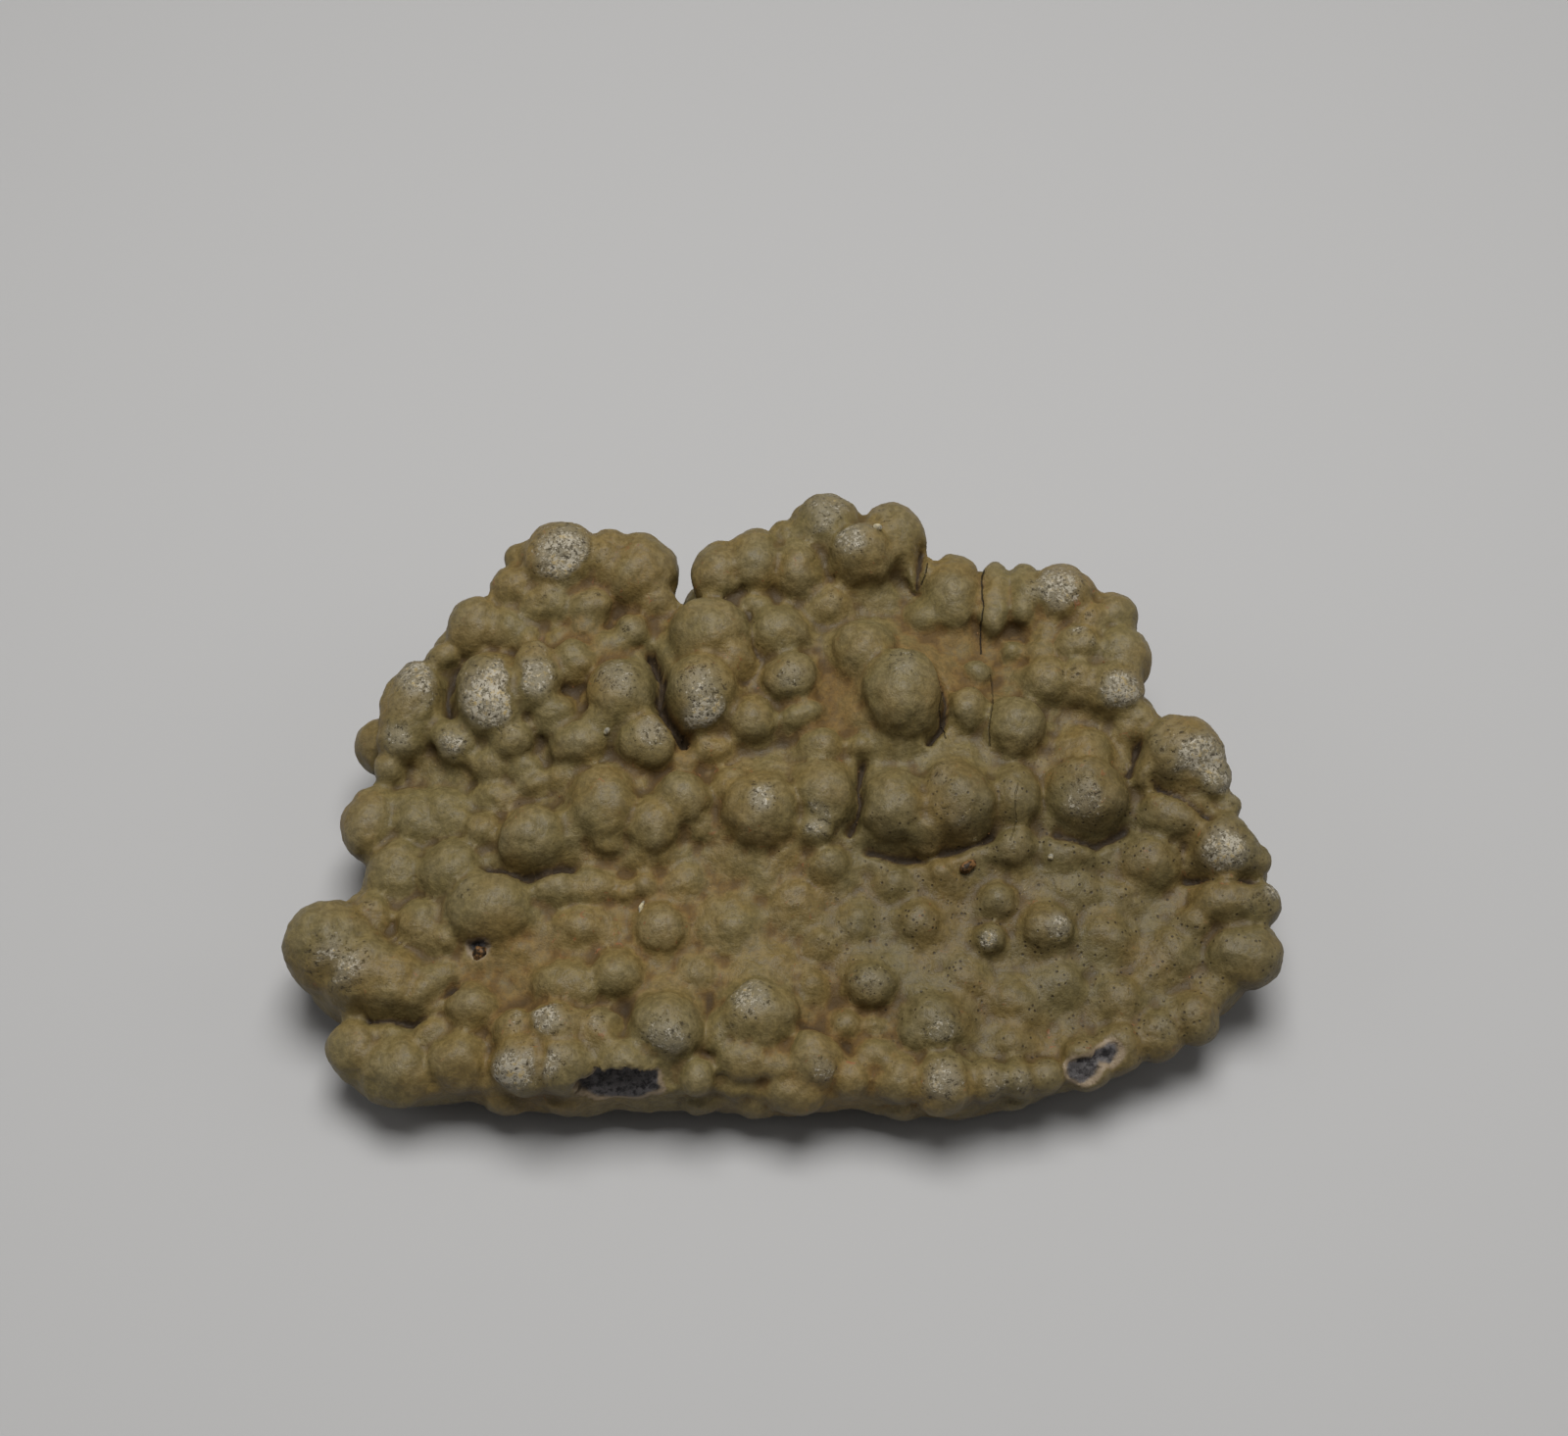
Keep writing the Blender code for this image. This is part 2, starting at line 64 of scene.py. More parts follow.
# How base, swells and knobs are shaped: places, reaches and depths in mm, otherwise shares and counts.
OUTLINE_CENTRE = (0.0, -2.0)
GROUND_REACH = 4.6
UNDERSIDE_REACH = 4.6
BASE_SIDES = 360
BASE_RINGS = 240
RIM_BLUFFNESS = 0.16
BASE_BELOW_GROUND = 0.3
CAP_DEPTH = 1.2
NECK_LIFT = 0.4
FOOT_REACH = 1.25
FOOT_RISE = 0.76
BASIN_RISE = 1.3
BELL_POWER = 8
BALL_SUBDIVISIONS = 3

# The fused skin: its smoothing, then two patterns that roughen it, each (kind, size, strength) in mm.
SKIN_SMOOTHING = 0.5
SKIN_SMOOTHING_STEPS = 1
SKIN_PATTERNS = [("CLOUDS", 3.1, 0.70), ("STUCCI", 1.1, 0.12)]

# The single grains: what roughens them, the share of its half height that a grain's middle stands above
# the skin, and the height in metres from which the skin under it is looked for.
GRAIN_PATTERN = ("STUCCI", 0.5, 0.22)
GRAIN_LIFT = 0.3
ABOVE_ALL = 0.05

# How creases are deepened and knobs crowned: smoothings that tell them, most in and out in mm, and share.
RELIEF_STEPS = 14
RELIEF_MOST = (-0.5, 0.15)
CRISPNESS = 0.5

# How much of each mark shows, from none to full: by the skin's tilt, or by heights and depths in mm.
UPWARD = (-0.1, 0.3)
GAP_LEVEL = (4.0, 7.0)
# The gaps' depths over which they add to the crease mark, and so to its painted shade.
GAP_DARK = (0.5, 1.6)
SMALL_STEPS = 10
LARGE_STEPS = 90
SCAR_STEPS = 2
# The heights over which the painted shade near the floor grows, from none to full.
LOW_LEVEL = (4.6, 1.4)
SPECKLED = (22.0, -13.0, 1.6, (26.0, 14.0))

# The edge of the base in plan, clockwise from the left end.
OUTLINE = [
    (-37.2, -12), (-35.2, -10.8), (-33.2, -8.8), (-34, -5), (-33.8, -2), (-32.4, 0.5), (-32.2, 4),
    (-31.6, 7.4), (-29.4, 9.4), (-27, 10.8), (-25.6, 13.6), (-23.4, 16.6), (-20.8, 19), (-18, 20.4),
    (-14, 19.4), (-11, 18), (-9.6, 15), (-8.4, 13.6), (-7.2, 15), (-5.4, 18), (-2.4, 19.4), (1, 21.6),
    (4.4, 22.8), (8.4, 21.8), (10.6, 19), (12.4, 17), (17, 17.2), (21, 16.4), (24, 15), (26.8, 12.6),
    (28, 9), (28.6, 5.4), (31, 3.4), (33.8, 1.4), (34.6, -2.4), (36, -6), (37.2, -9.6), (38, -13.4),
    (36.2, -17), (33.6, -19.2), (30.2, -21.4), (26.4, -23.2), (22.2, -25), (18.4, -26.2), (12, -26.8),
    (5.6, -26.4), (0, -26.8), (-6.4, -26.2), (-13, -26.6), (-19.4, -26.4), (-24.4, -25.6), (-28.6, -26.2),
    (-32.2, -24.8), (-34.2, -21.8), (-34.4, -19.4), (-37, -17.6), (-38.2, -15.6), (-38.2, -13.6),
]

# Ground level between the knobs, (x, y, height), from the low front to the high back.
GROUND = [
    (-37, -15, 5.4), (-30, -14, 7.6), (-20, -14, 8.6), (-10, -14, 8.6), (0, -14, 8.6), (10, -14, 8.4),
    (20, -14, 7.8), (30, -14, 7.4), (38, -14, 7), (-33, -24, 4.6), (-25, -24, 6.2), (-15, -24, 7.2),
    (-5, -24, 6.6), (5, -24, 6), (15, -24, 6), (24, -23, 5.6), (33, -19, 5.6), (-34, -5, 7), (-28, -5, 8.6),
    (-20, -5, 9.6), (-10, -5, 10), (0, -5, 10.2), (10, -5, 10.4), (20, -5, 9.8), (28, -5, 9), (36, -5, 8.6),
    (-32, 5, 8.8), (-24, 5, 11.4), (-15, 5, 12), (-5, 5, 12.4), (5, 5, 12.6), (15, 5, 12.4), (24, 5, 11.6),
    (32, 3, 10.2), (-28, 12, 11.2), (-20, 14, 12.8), (-12, 13, 13), (-4, 14, 13.6), (5, 14, 13.6),
    (14, 13, 13.2), (18, 12, 13.2), (22, 11, 12.4), (27, 11, 11.4), (20, 7, 11.4), (-19, 21, 12.8),
    (-12, 20, 12.4), (-4, 20, 13.2), (5, 23, 12.6), (14, 19, 12.4), (23, 17, 11.8),
]

# Level of the broken underside; what falls below zero is the part that stands on the floor.
UNDERSIDE = [
    (-38, -13, 2.4), (-34, -22, 1.6), (-26, -26, 2.8), (-20, -27, 0.6), (-10.5, -27, 3), (-3, -27, 0.8),
    (4.5, -27, 2.8), (12, -27, 1), (22, -25, 3), (33, -19, 2.8), (38, -12, 3), (36, -4, 3.4), (32, 3, 3.8),
    (27, 11, 3.8), (20, 17, 3.6), (11, 19, 3.6), (4, 23, 4.2), (-6, 19, 4), (-18, 21, 4.2), (-26, 14, 4.2),
    (-32, 6, 3.6), (-35, -5, 3), (-26, -16, -0.6), (-14, -17, -1.2), (0, -17, -0.8), (13, -16, -1),
    (24, -13, -0.4), (29, -6, 0.4), (-27, -4, -0.4), (-14, -5, -1.4), (0, -4, -1), (13, -4, -1.4),
    (23, -2, -0.8), (-19, 8, -0.6), (-7, 7, -1.2), (6, 8, -1.2), (17, 7, -0.8), (6, 16, 0.4),
    (-12, 14, 0.6),
]

# Every knob is (x, y, radius, rise) or (x, y, radius, rise, stretch, turn): radius is its reach across the
# narrow way, rise the height of its top above the ground, stretch how much longer it is than wide, and turn
# the direction of its long way in degrees from +X.
HORN_BACK_LEFT = [
    (-18.6, 17.9, 3.6, 4.8), (-21.6, 18.6, 1.9, 2.6), (-12.3, 17, 3.5, 4, 1.05, 90),
    (-14.8, 17.8, 2.4, 3.9, 1.2, 90), (-22.3, 15.6, 2.3, 3), (-19.6, 14, 2.3, 2.8, 1.2, 0),
    (-25.4, 12.6, 2.8, 3), (-22.8, 12.2, 2.2, 2.4), (-16.2, 13.6, 2.1, 2.6), (-10.9, 14.4, 1.9, 2.3),
    (-16.4, 11.6, 1.6, 1.8), (-12.5, 11.4, 1.6, 2), (-14.6, 9.8, 1.9, 1.8, 1.3, 0), (-21, 11, 1.6, 1.8),
    (-18.6, 10.8, 1.5, 1.7),
]

RIDGE_LEFT = [
    (-30.3, 6, 2.9, 3.1, 1.45, 80), (-31, 3.2, 2.3, 2.5), (-32.2, 0.8, 1.4, 1.6), (-28.2, 10, 1.4, 1.8),
    (-23.7, 5.6, 3.2, 4.1, 1.3, 100), (-20.2, 6.6, 2.2, 3.7, 1.5, 95), (-17.3, 8.3, 2.2, 2.7),
    (-26.7, 2.5, 1.9, 2.3, 1.35, -45), (-22, 2, 2, 2.5), (-23.9, 0.2, 1.4, 1.6, 1.3, -35),
    (-21, -0.2, 1.4, 1.3, 1.2, 0), (-18.6, 3.6, 2, 2.6), (-16.4, 1.4, 2.4, 2.7, 1.2, 15),
    (-13.2, 5.2, 3, 3.6, 1.15, 90), (-14.6, 2.8, 1.8, 2.6), (-11.2, 1, 2.5, 3.4),
    (-20, -1.5, 1.3, 1.3, 1.4, 10), (-23, -2.4, 1.5, 1.3, 1.5, -5), (-17.2, -1, 1.6, 1.5, 1.3, 10),
]

FLANK_LEFT = [
    (-33.3, -3.6, 2.5, 2.3, 1.35, 90), (-29.6, -3.4, 2.4, 1.6, 1.3, -40), (-26.6, -3.6, 2.4, 1.5, 1.4, -40),
    (-24, -5.4, 1.6, 1.8, 1.2, 90), (-30.8, -8, 2.6, 1.8, 1.2, 90), (-26.2, -8.6, 2.9, 2.4),
    (-23, -12.1, 3.7, 3.2, 1.1, 0), (-19.9, -6.8, 2.9, 3.7), (-17.1, -5.6, 1.5, 2.4, 1.3, 110),
    (-28.4, -12.9, 2.3, 2),
]

MIDDLE_LEFT = [
    (-14.4, -4, 3.1, 3.8, 1.15, 90), (-13.9, -6.6, 1.8, 2.2), (-10.5, -5.5, 2.4, 3.1, 1.2, 90),
    (-8.3, -3.7, 2.4, 3.2), (-12.2, -2.2, 1.6, 2), (-6.6, -5.6, 1.5, 1.5), (-11.4, -8, 1.4, 1.2, 1.4, 0),
    (-8, -0.4, 1.4, 1.4), (-2, -4.7, 3.3, 4.1, 1.05, 90), (-4.4, -2.6, 1.9, 2.2), (-4.6, -6, 1.5, 1.5),
]

MIDDLE_RIGHT = [
    (2.8, -3.2, 2.7, 3.3, 1.25, 100), (2.2, -6, 1.8, 2.4), (2.7, 0.8, 2, 2), (3.2, -8.6, 1.9, 1.6),
    (8.6, -4.3, 3, 3.6, 1.05, 90), (10.9, -6.2, 1.9, 2.6), (13.4, -3.9, 3.4, 3.9, 1.05, 90),
    (18, -3, 2.3, 2.5, 1.2, 90), (17.8, -6.9, 2.1, 1.8), (5.9, 1, 1.4, 1.4), (18.4, 2.6, 2.5, 2.7, 1.1, 90),
    (23.8, 0.9, 2.7, 1.8), (23.9, -2.9, 3.4, 3.8), (22, -6.8, 2.2, 1.4, 1.2, 0), (28.8, -7.5, 2.7, 1.8),
]

BACK_MIDDLE = [
    (9.3, 4.8, 3.3, 4.7, 1.25, 90), (6.4, 9, 2.8, 3.1), (-6.2, 10.4, 3.6, 3.9),
    (-6.8, 5.2, 3.1, 4, 1.25, 85), (-4.4, 8, 2, 2.8), (-0.6, 10.8, 2.8, 2.6), (0.4, 6.6, 2.4, 2.8),
    (-2.8, 2.9, 2.2, 2.6), (-5.8, 0.8, 1.6, 1.5, 1.5, 10), (1.2, 3.5, 1.5, 1.6, 1.5, 20),
    (3.4, 14, 2.2, 1.6, 1.2, 0), (14.5, 4.1, 1.8, 2.1, 1.1, 90), (11.8, 13, 2, 1.5), (15.6, 7.6, 1.2, 1.1),
    (-2.6, 13.6, 1.6, 1.6),
]

BACK_EDGE = [
    (-5.5, 16.6, 2.3, 3.2, 1.35, 80), (-2.5, 17.6, 2.6, 3.7, 1.2, 85), (1, 17, 2.4, 3.4, 1.3, 95),
    (0.4, 20, 1.9, 2.9), (3.5, 20.8, 3.3, 4.6), (6.3, 17.7, 2.9, 4.9), (8.9, 20, 3.2, 4.4, 1.1, 90),
    (13.8, 15.2, 2.6, 3, 1.5, 85), (11.4, 17, 1.5, 2.5, 1.3, 90), (17.3, 14.4, 1.6, 2.5, 2.3, 86),
    (19.8, 14.8, 1.7, 2.9, 1.9, 84), (22.9, 14.6, 3.1, 4.1), (25, 12.3, 2.3, 3.2), (24.1, 9.8, 2.4, 3.1),
    (27, 13, 2.4, 3), (27.2, 9.4, 2.8, 3.3, 1.1, 90), (26.4, 6.2, 2.8, 3.4), (21.3, 6.9, 2.4, 2.5),
    (24, 6.8, 2.4, 2.8), (28.3, 3.6, 1.7, 1.8, 1.3, 40), (21.6, 11.6, 1.9, 2.1), (21, 9.2, 1.7, 1.8),
    (18.6, 9.8, 1, 1.1),
]

RIGHT_END = [
    (31.7, 0.8, 3.6, 4.2), (33.5, -1.2, 2.2, 3), (29, -0.6, 2, 2.5), (31, -4, 2.5, 2.7, 1.35, -5),
    (35.2, -3.2, 1.3, 1.8), (34.6, -7, 2.8, 3.5, 1.1, 90), (37, -8, 1.3, 2),
    (35.3, -11.1, 2.3, 2.6, 1.6, 0), (35.7, -15.2, 2.7, 2.5, 1.15, 10), (32, -12.4, 1.8, 1.2),
]

# Low knobs that stand clear in the basin in front of the middle row.
LOW_KNOBS = [
    (20.2, -13.4, 2.2, 1.8), (15.7, -14.4, 1.2, 1.2), (16.4, -11.2, 1.6, 1.2), (10.2, -12.9, 1.8, 1.2),
    (6.4, -18.1, 2, 1.9), (4.2, -21.3, 1.5, 1.3), (11.2, -21.2, 2.8, 2.2, 1.1, 10),
    (-18.2, -10.5, 1.9, 2, 1.2, 0), (-15.2, -10.4, 1.7, 1.6, 1.3, 0), (-12.8, -10.8, 1, 1),
    (-11.2, -10.1, 1.1, 1.1), (-13.2, -17.6, 2.2, 2), (-9.8, -13.9, 2.1, 1.6),
    (-16.8, -18.4, 2.4, 1.9, 1.2, 0),
]

# Swellings hardly more than waves, same form as the knobs but soft all over.
BASIN = [
    (22.6, -10.3, 2.2, 0.9), (8.4, -10, 1.6, 1), (12.1, -9.4, 1.5, 1), (0.6, -11.6, 2.4, 0.9),
    (30.6, -14.8, 2.6, 1.3), (25.2, -14, 2.6, 1.1), (25.8, -19, 2.4, 1.2), (29.6, -20.4, 2.2, 1),
    (21.2, -17.6, 2.1, 1), (1.8, -18.5, 1.8, 1.1), (-4.5, -13.5, 2.8, 1.2), (6.8, -21.6, 1.5, 1.1),
    (17.5, -19.3, 2.4, 0.9), (17, -22.4, 2.2, 1), (33.2, -18, 2, 1.1), (-16, -13.8, 2.4, 1.4, 1.3, 0),
    (-8, -9.9, 1.9, 1), (-2, -9.6, 2, 0.9), (5.6, -13.2, 1.8, 0.8), (-1.2, -16.6, 1.9, 0.9),
    (13.8, -17.4, 2, 0.8), (31.6, -11.4, 2.2, 0.8), (26.6, -10.8, 1.9, 0.8), (-6.6, -17.4, 2, 1),
    (2.8, -14.9, 1.6, 0.7), (-20.6, -15.2, 1.9, 1), (28.4, -16.8, 1.7, 0.9),
]

LEFT_LOBE = [
    (-35.4, -14.5, 3.8, 4.5), (-33, -16.4, 3.4, 3.7), (-30.6, -17.6, 3, 3), (-27.8, -18.5, 2.1, 2.2),
    (-32.4, -12, 1.7, 2.2, 1.2, -60), (-24, -19.8, 2.3, 2), (-26.6, -17, 1.6, 1.3),
    (-26.6, -14.2, 1.9, 1.8),
]

FRONT_EDGE = [
    (-32.8, -22.4, 2.5, 2), (-29.6, -23.9, 2.8, 2.1, 1.2, 0), (-25, -23.6, 2.5, 2.1),
    (-30.6, -21, 1.6, 1.5), (-27.2, -21.6, 1.6, 1.6), (-17.4, -22, 2.5, 2.7), (-19.8, -24.4, 2.6, 2.6),
    (-16.8, -24.7, 2.4, 2.6), (-20.8, -22, 1.8, 2), (-14.2, -22.6, 2.6, 2.1),
    (-12.2, -24.4, 2.6, 2.2, 1.2, 0), (-9.3, -22, 2.9, 3.2), (-2.2, -20.8, 3.3, 3.1),
    (-5.2, -22, 1.5, 1.9, 1.3, 90), (-3.3, -23.9, 2.1, 1.9, 1.2, 0), (-6.8, -25.6, 1.4, 1.3),
    (2, -24, 2.4, 2.6), (-0.6, -24.6, 1.3, 1.7), (0.6, -26, 1.7, 1, 1.3, 0), (4.8, -25.3, 1.6, 1.5),
    (6.8, -23.7, 1.9, 1.5), (8.4, -25.3, 1.9, 1.7, 1.2, 0), (11.8, -25.7, 2.5, 2.5), (15, -25.6, 1.7, 1.9),
    (17.3, -25.3, 1.5, 1.7), (19.6, -25, 1.4, 1.4), (22.8, -23.6, 2, 1.4), (25.4, -22.4, 1.9, 1.2),
    (28.4, -21.2, 1.9, 1.1), (31.4, -19.8, 1.9, 1.1),
]

# Lobes low on the sides, back and front, (x, y, height of the middle, radius), below the knobs of the top.
SIDE_LOBES = [
    (-33, 4.4, 6.6, 2.6), (-30.2, 8.6, 7.2, 2.8), (-26.4, 12.4, 8.2, 3), (-22.6, 16.6, 8.8, 2.8),
    (-18.2, 19.4, 8.6, 3.2), (-13.2, 18.4, 8.4, 2.8), (-6, 16.6, 8.6, 2.6), (-1.6, 19, 8.8, 2.8),
    (3.6, 21.8, 8.6, 3.2), (8.8, 20.6, 8.4, 2.8), (13.6, 17.2, 8.4, 2.6), (18.2, 16.8, 8, 2.6),
    (23, 15.2, 7.6, 2.8), (27, 11.6, 7.4, 2.6), (28.4, 6.4, 7.2, 2.6), (32.4, 2.4, 7, 2.6),
    (34.4, -2.4, 6.4, 2.4), (35.8, -7.6, 6.2, 2.6), (-33.6, -2.6, 5.6, 2.4), (-36.4, -13, 4.6, 2.6),
    (-31.5, -23.4, 3.6, 2.2), (-21.5, -24.8, 3.8, 2.2), (-17, -25, 4.2, 2.2), (-6.5, -25, 3.8, 2.1),
    (-2.2, -25.2, 3.6, 2.2), (9, -25.2, 3.6, 2.2), (13, -25.2, 3.8, 2.2), (17, -24.8, 3.8, 2.1),
    (29, -19.8, 4.4, 2),
]

# Narrow gaps between knobs, each (half width, depth) and then the plan points it runs through.
GROOVES = [
    (0.45, 1.9, (-11, 9.2), (-10, 6.6), (-10.2, 4.4), (-9.2, 2.6), (-8.2, 1.2)),
    (0.35, 1.2, (12.2, 6.6), (12.9, 4.4), (12.5, 2.4), (11.4, 1)),
    (0.4, 1.2, (6.1, -0.6), (5.7, -2.8), (6, -4.4), (5, -6.2)),
    (0.4, 0.7, (-26.8, 8.8), (-27.7, 6.4), (-27.2, 4.2)),
    (0.6, 1, (-23.2, -9.2), (-20.2, -9.9), (-17, -9)),
    (0.6, 1, (6.6, -7.6), (9.4, -8.2), (13.2, -7.6), (16.2, -6.4)),
    (0.6, 0.9, (21.4, -6.2), (24.4, -6.8), (26.8, -5.4)),
    (0.45, 1.1, (11.3, 18.6), (11, 15.6)),
    (0.5, 1.2, (28.4, 1.6), (27.6, -1)),
    (0.55, 0.9, (-32, -20.4), (-28.6, -20.8), (-25.6, -18.4)),
    (0.55, 0.35, (-12.2, -20.2), (-12.6, -22.8)),
    (0.55, 0.4, (-5.9, -19.4), (-6, -23.4)),
    (0.55, 0.4, (1.4, -21.6), (4.4, -22.9)),
    (0.55, 0.4, (-3, 12.6), (-2.6, 9), (-3.3, 6.2)),
    (0.45, 0.9, (31.6, -9.2), (36.6, -9.9)),
    (0.45, 0.9, (29.2, -1.9), (33.6, -4.9)),
]

# Broken places: (x, y, z) of the middle, the way the break faces, half its width and height, its depth.
BREAKS = [
    ((-12.4, -25.2, 6.1), (0.05, -0.78, 0.62), 3.7, 1.7, 1),
    ((22.3, -24.7, 6.2), (0.1, -0.6, 0.8), 1.4, 1.1, 0.6),
    ((24.3, -23.4, 6.4), (0.3, -0.5, 0.8), 1.2, 0.9, 0.5),
    ((-23.8, -15.9, 9.4), (0.1, -0.62, 0.78), 0.85, 0.75, 0.6),
]

# Grains caught between the knobs: (x, y), half lengths, turn, and the name of the grain's colour.
GRAINS = [
    ((14.2, -9), (0.75, 0.42, 0.55), 35, "brown_grain"),
    ((-23.7, -15.7), (0.62, 0.55, 0.6), 10, "brown_grain"),
    ((7.6, 18.9), (0.38, 0.34, 0.34), 0, "pale_grain"),
    ((-11.3, -12.2), (0.18, 0.62, 0.24), -20, "pale_grain"),
    ((-14.3, 1.4), (0.3, 0.26, 0.26), 60, "pale_grain"),
    ((20.8, -8.2), (0.22, 0.22, 0.22), 0, "pale_grain"),
]

# The photo's camera: where its eye is, how it is turned, and its focal length, in mm, degrees and pixels.
EYE = (-1.668, -99.129, 163.700)
LOOK_DOWN, LOOK_RIGHT, ROLL = 55.871, 0.838, 0.657
FOCAL = 2315.3
PICTURE = (1600, 1465)

# Scuffed, pale places on the knob tops: column and row in the photo, reach in pixels, strength.
SCUFFS = [
    (503, 712, 34, 1), (512, 690, 22, 0.9), (545, 690, 22, 0.75), (558, 662, 16, 0.5), (628, 690, 22, 0.6),
    (665, 745, 20, 0.6), (575, 565, 30, 0.9), (600, 583, 24, 0.6), (560, 590, 18, 0.7), (716, 700, 24, 0.6),
    (722, 732, 26, 0.95), (777, 812, 15, 0.75), (830, 835, 20, 0.7), (845, 518, 24, 0.6),
    (838, 546, 14, 0.6), (868, 548, 18, 0.75), (895, 530, 16, 0.5), (1078, 600, 26, 0.8),
    (1100, 632, 15, 0.8), (1145, 705, 22, 0.9), (1122, 655, 13, 0.5), (1225, 775, 28, 0.9),
    (1250, 800, 20, 0.7), (1192, 752, 20, 0.4), (1105, 815, 24, 0.6), (1250, 868, 24, 0.9),
    (1302, 905, 14, 0.8), (345, 980, 30, 0.7), (372, 930, 12, 0.4), (425, 690, 22, 0.8),
    (440, 712, 14, 0.5), (405, 750, 16, 0.6), (548, 1036, 26, 0.8), (522, 1092, 22, 0.95),
    (552, 1082, 22, 0.8), (603, 1040, 12, 0.6), (678, 1062, 24, 0.7), (765, 1016, 22, 0.7),
    (741, 1056, 12, 0.5), (842, 1092, 14, 0.6), (890, 1000, 18, 0.5), (962, 1052, 18, 0.6),
    (962, 1102, 22, 0.7), (1018, 1104, 16, 0.6), (1043, 1104, 12, 0.5), (1195, 1045, 16, 0.4),
    (1080, 944, 14, 0.8), (1008, 958, 10, 0.8), (462, 757, 15, 0.8), (805, 690, 16, 0.5),
    (955, 790, 14, 0.5), (978, 830, 16, 0.45), (920, 672, 16, 0.5), (945, 752, 12, 0.5),
    (1280, 925, 14, 0.35), (472, 905, 14, 0.4), (855, 605, 10, 0.35), (1090, 690, 12, 0.4),
    (920, 620, 8, 0.3), (636, 640, 10, 0.3),
]

# How much further the scuffs reach, and how much stronger they are, than their list says.
SCUFF_SPREAD = 1.25
SCUFF_STRENGTH = 1.05

# Places where ochre dust lies in the hollows: x, y and reach, in mm, and how thick it lies.
DUST = [
    (-7, -14, 9, 0.55), (13.6, 9.5, 5.5, 1), (-15, 11, 4, 0.8), (3.4, 4.5, 3.5, 1), (-9, 0, 3, 0.9),
    (18, 11, 4, 0.9), (-21, -18, 5, 0.8), (4, -25, 6, 0.8),
]

# Deep pits between knobs are filled: the smoothings that tell a pit, the depth that stays, the share filled.
PIT_STEPS = 60
PIT_DEPTH = 0.30
PIT_FILL = 0.65
PIT_EDGE_STEPS = 4

# Thin cracks: how dark each is, and the points in the photo (column, row) that it runs through.
CRACKS = [
    (0.95, (1007, 566), (1002, 592), (1003, 620), (1000, 645), (1001, 668)),
    (0.55, (1011, 688), (1013, 712), (1009, 740), (1010, 762)),
    (0.35, (1039, 798), (1036, 816), (1037, 838), (1031, 858)),
    (0.8, (961, 706), (958, 724), (960, 742), (966, 754)),
    (0.85, (946, 574), (944, 586), (940, 598)),
]
# How far they waver, where their edges fade, and how softly they end.
CRACK_WAVER = 0.00035
CRACK_EDGE = (0.00002, 0.00009)
CRACK_END = 1e-7

# The broken places: how pointed their ends are, how far in and out of the skin they reach in mm, the level
# of their facet among the skin's points in per cent, and how it slants.
BREAK_POINTEDNESS = 1.4
BREAK_REACH = 4.0
BREAK_LEVEL = 60
BREAK_SLANT = 0.12

# Tints that darken or vary the skin's colour, the cracks' colour, and the rock's growth bands. The crease
# tint and the low tint are painted shade: they darken the creases and the band near the floor.
SPECKLE_TINT = (0.80, 0.80, 0.80, 1.0)
CREASE_SHADE_TINT = (0.74, 0.69, 0.62, 1.0)
MOTTLE_TINTS = ((0.80, 0.80, 0.80, 1.0), (1.20, 1.19, 1.16, 1.0))
LOW_SHADE_TINT = (0.42, 0.36, 0.30, 1.0)
CRACK_COLOUR = (0.012, 0.008, 0.004, 1.0)
BAND_STRETCH = (0.2, 0.2, 3.0)
BAND_SCALE = 900.0

# Grit: the crease mark it starts at, how far its grains are stretched, and how they are turned.
GRIT_CREASE = 0.35
GRIT_LEAST = (0.5, 0.5, 0.5)
GRIT_MOST = (1.7, 1.4, 1.2)
GRIT_TURN = (6.283, 6.283, 6.283)
GRIT_TURN_SEED = 3

# The stage: the floor, the camera's film and nearest sight, the world's tint, and the soft square lights,
# each with its name, place and side in metres and the setting that holds its strength.
FLOOR_HALF = 2.0
FLOOR_CLOUD = (0.40, 0.395, 0.39, 1.0)
SENSOR_WIDTH = 36.0
NEAREST_SEEN = 0.001
SURROUND_COLOUR = (1.0, 0.98, 0.95, 1.0)
LIGHTS = [
    ("light_overhead", (0.01, 0.08, 0.42), 0.24, "key"),
    ("light_left", (-0.45, -0.02, 0.26), 0.30, "fill"),
    ("light_right", (0.45, 0.02, 0.26), 0.30, "fill"),
]


def blended_height(spots, reach):
    """A smooth height over the plan, drawn from the nearest spots."""
    table = np.array(spots, float)

    def height(x, y):
        away = (table[:, 0, None] - x) ** 2 + (table[:, 1, None] - y) ** 2
        share = np.exp(-(away - away.min(axis=0)) / (2 * reach * reach))
        return (share * table[:, 2, None]).sum(axis=0) / share.sum(axis=0)

    return height


def soft_rises(lumps, reach_share, rise_share):
    """How far the ground swells under a list of lumps: one soft bell each, the tallest ones leading."""
    table = np.array([(lump + (1.0, 0.0))[:6] if len(lump) == 4 else lump for lump in lumps], float)
    cosine, sine = np.cos(np.radians(table[:, 5])), np.sin(np.radians(table[:, 5]))

    def swell(x, y):
        total = np.zeros(np.shape(x))
        for row, c, s in zip(table, cosine, sine):
            along = (x - row[0]) * c + (y - row[1]) * s
            across = (y - row[1]) * c - (x - row[0]) * s
            reach = row[2] * reach_share
            bell = row[3] * rise_share * np.exp(-(along / (reach * row[4])) ** 2 - (across / reach) ** 2)
            total += bell ** BELL_POWER
        return total ** (1 / BELL_POWER)

    return swell


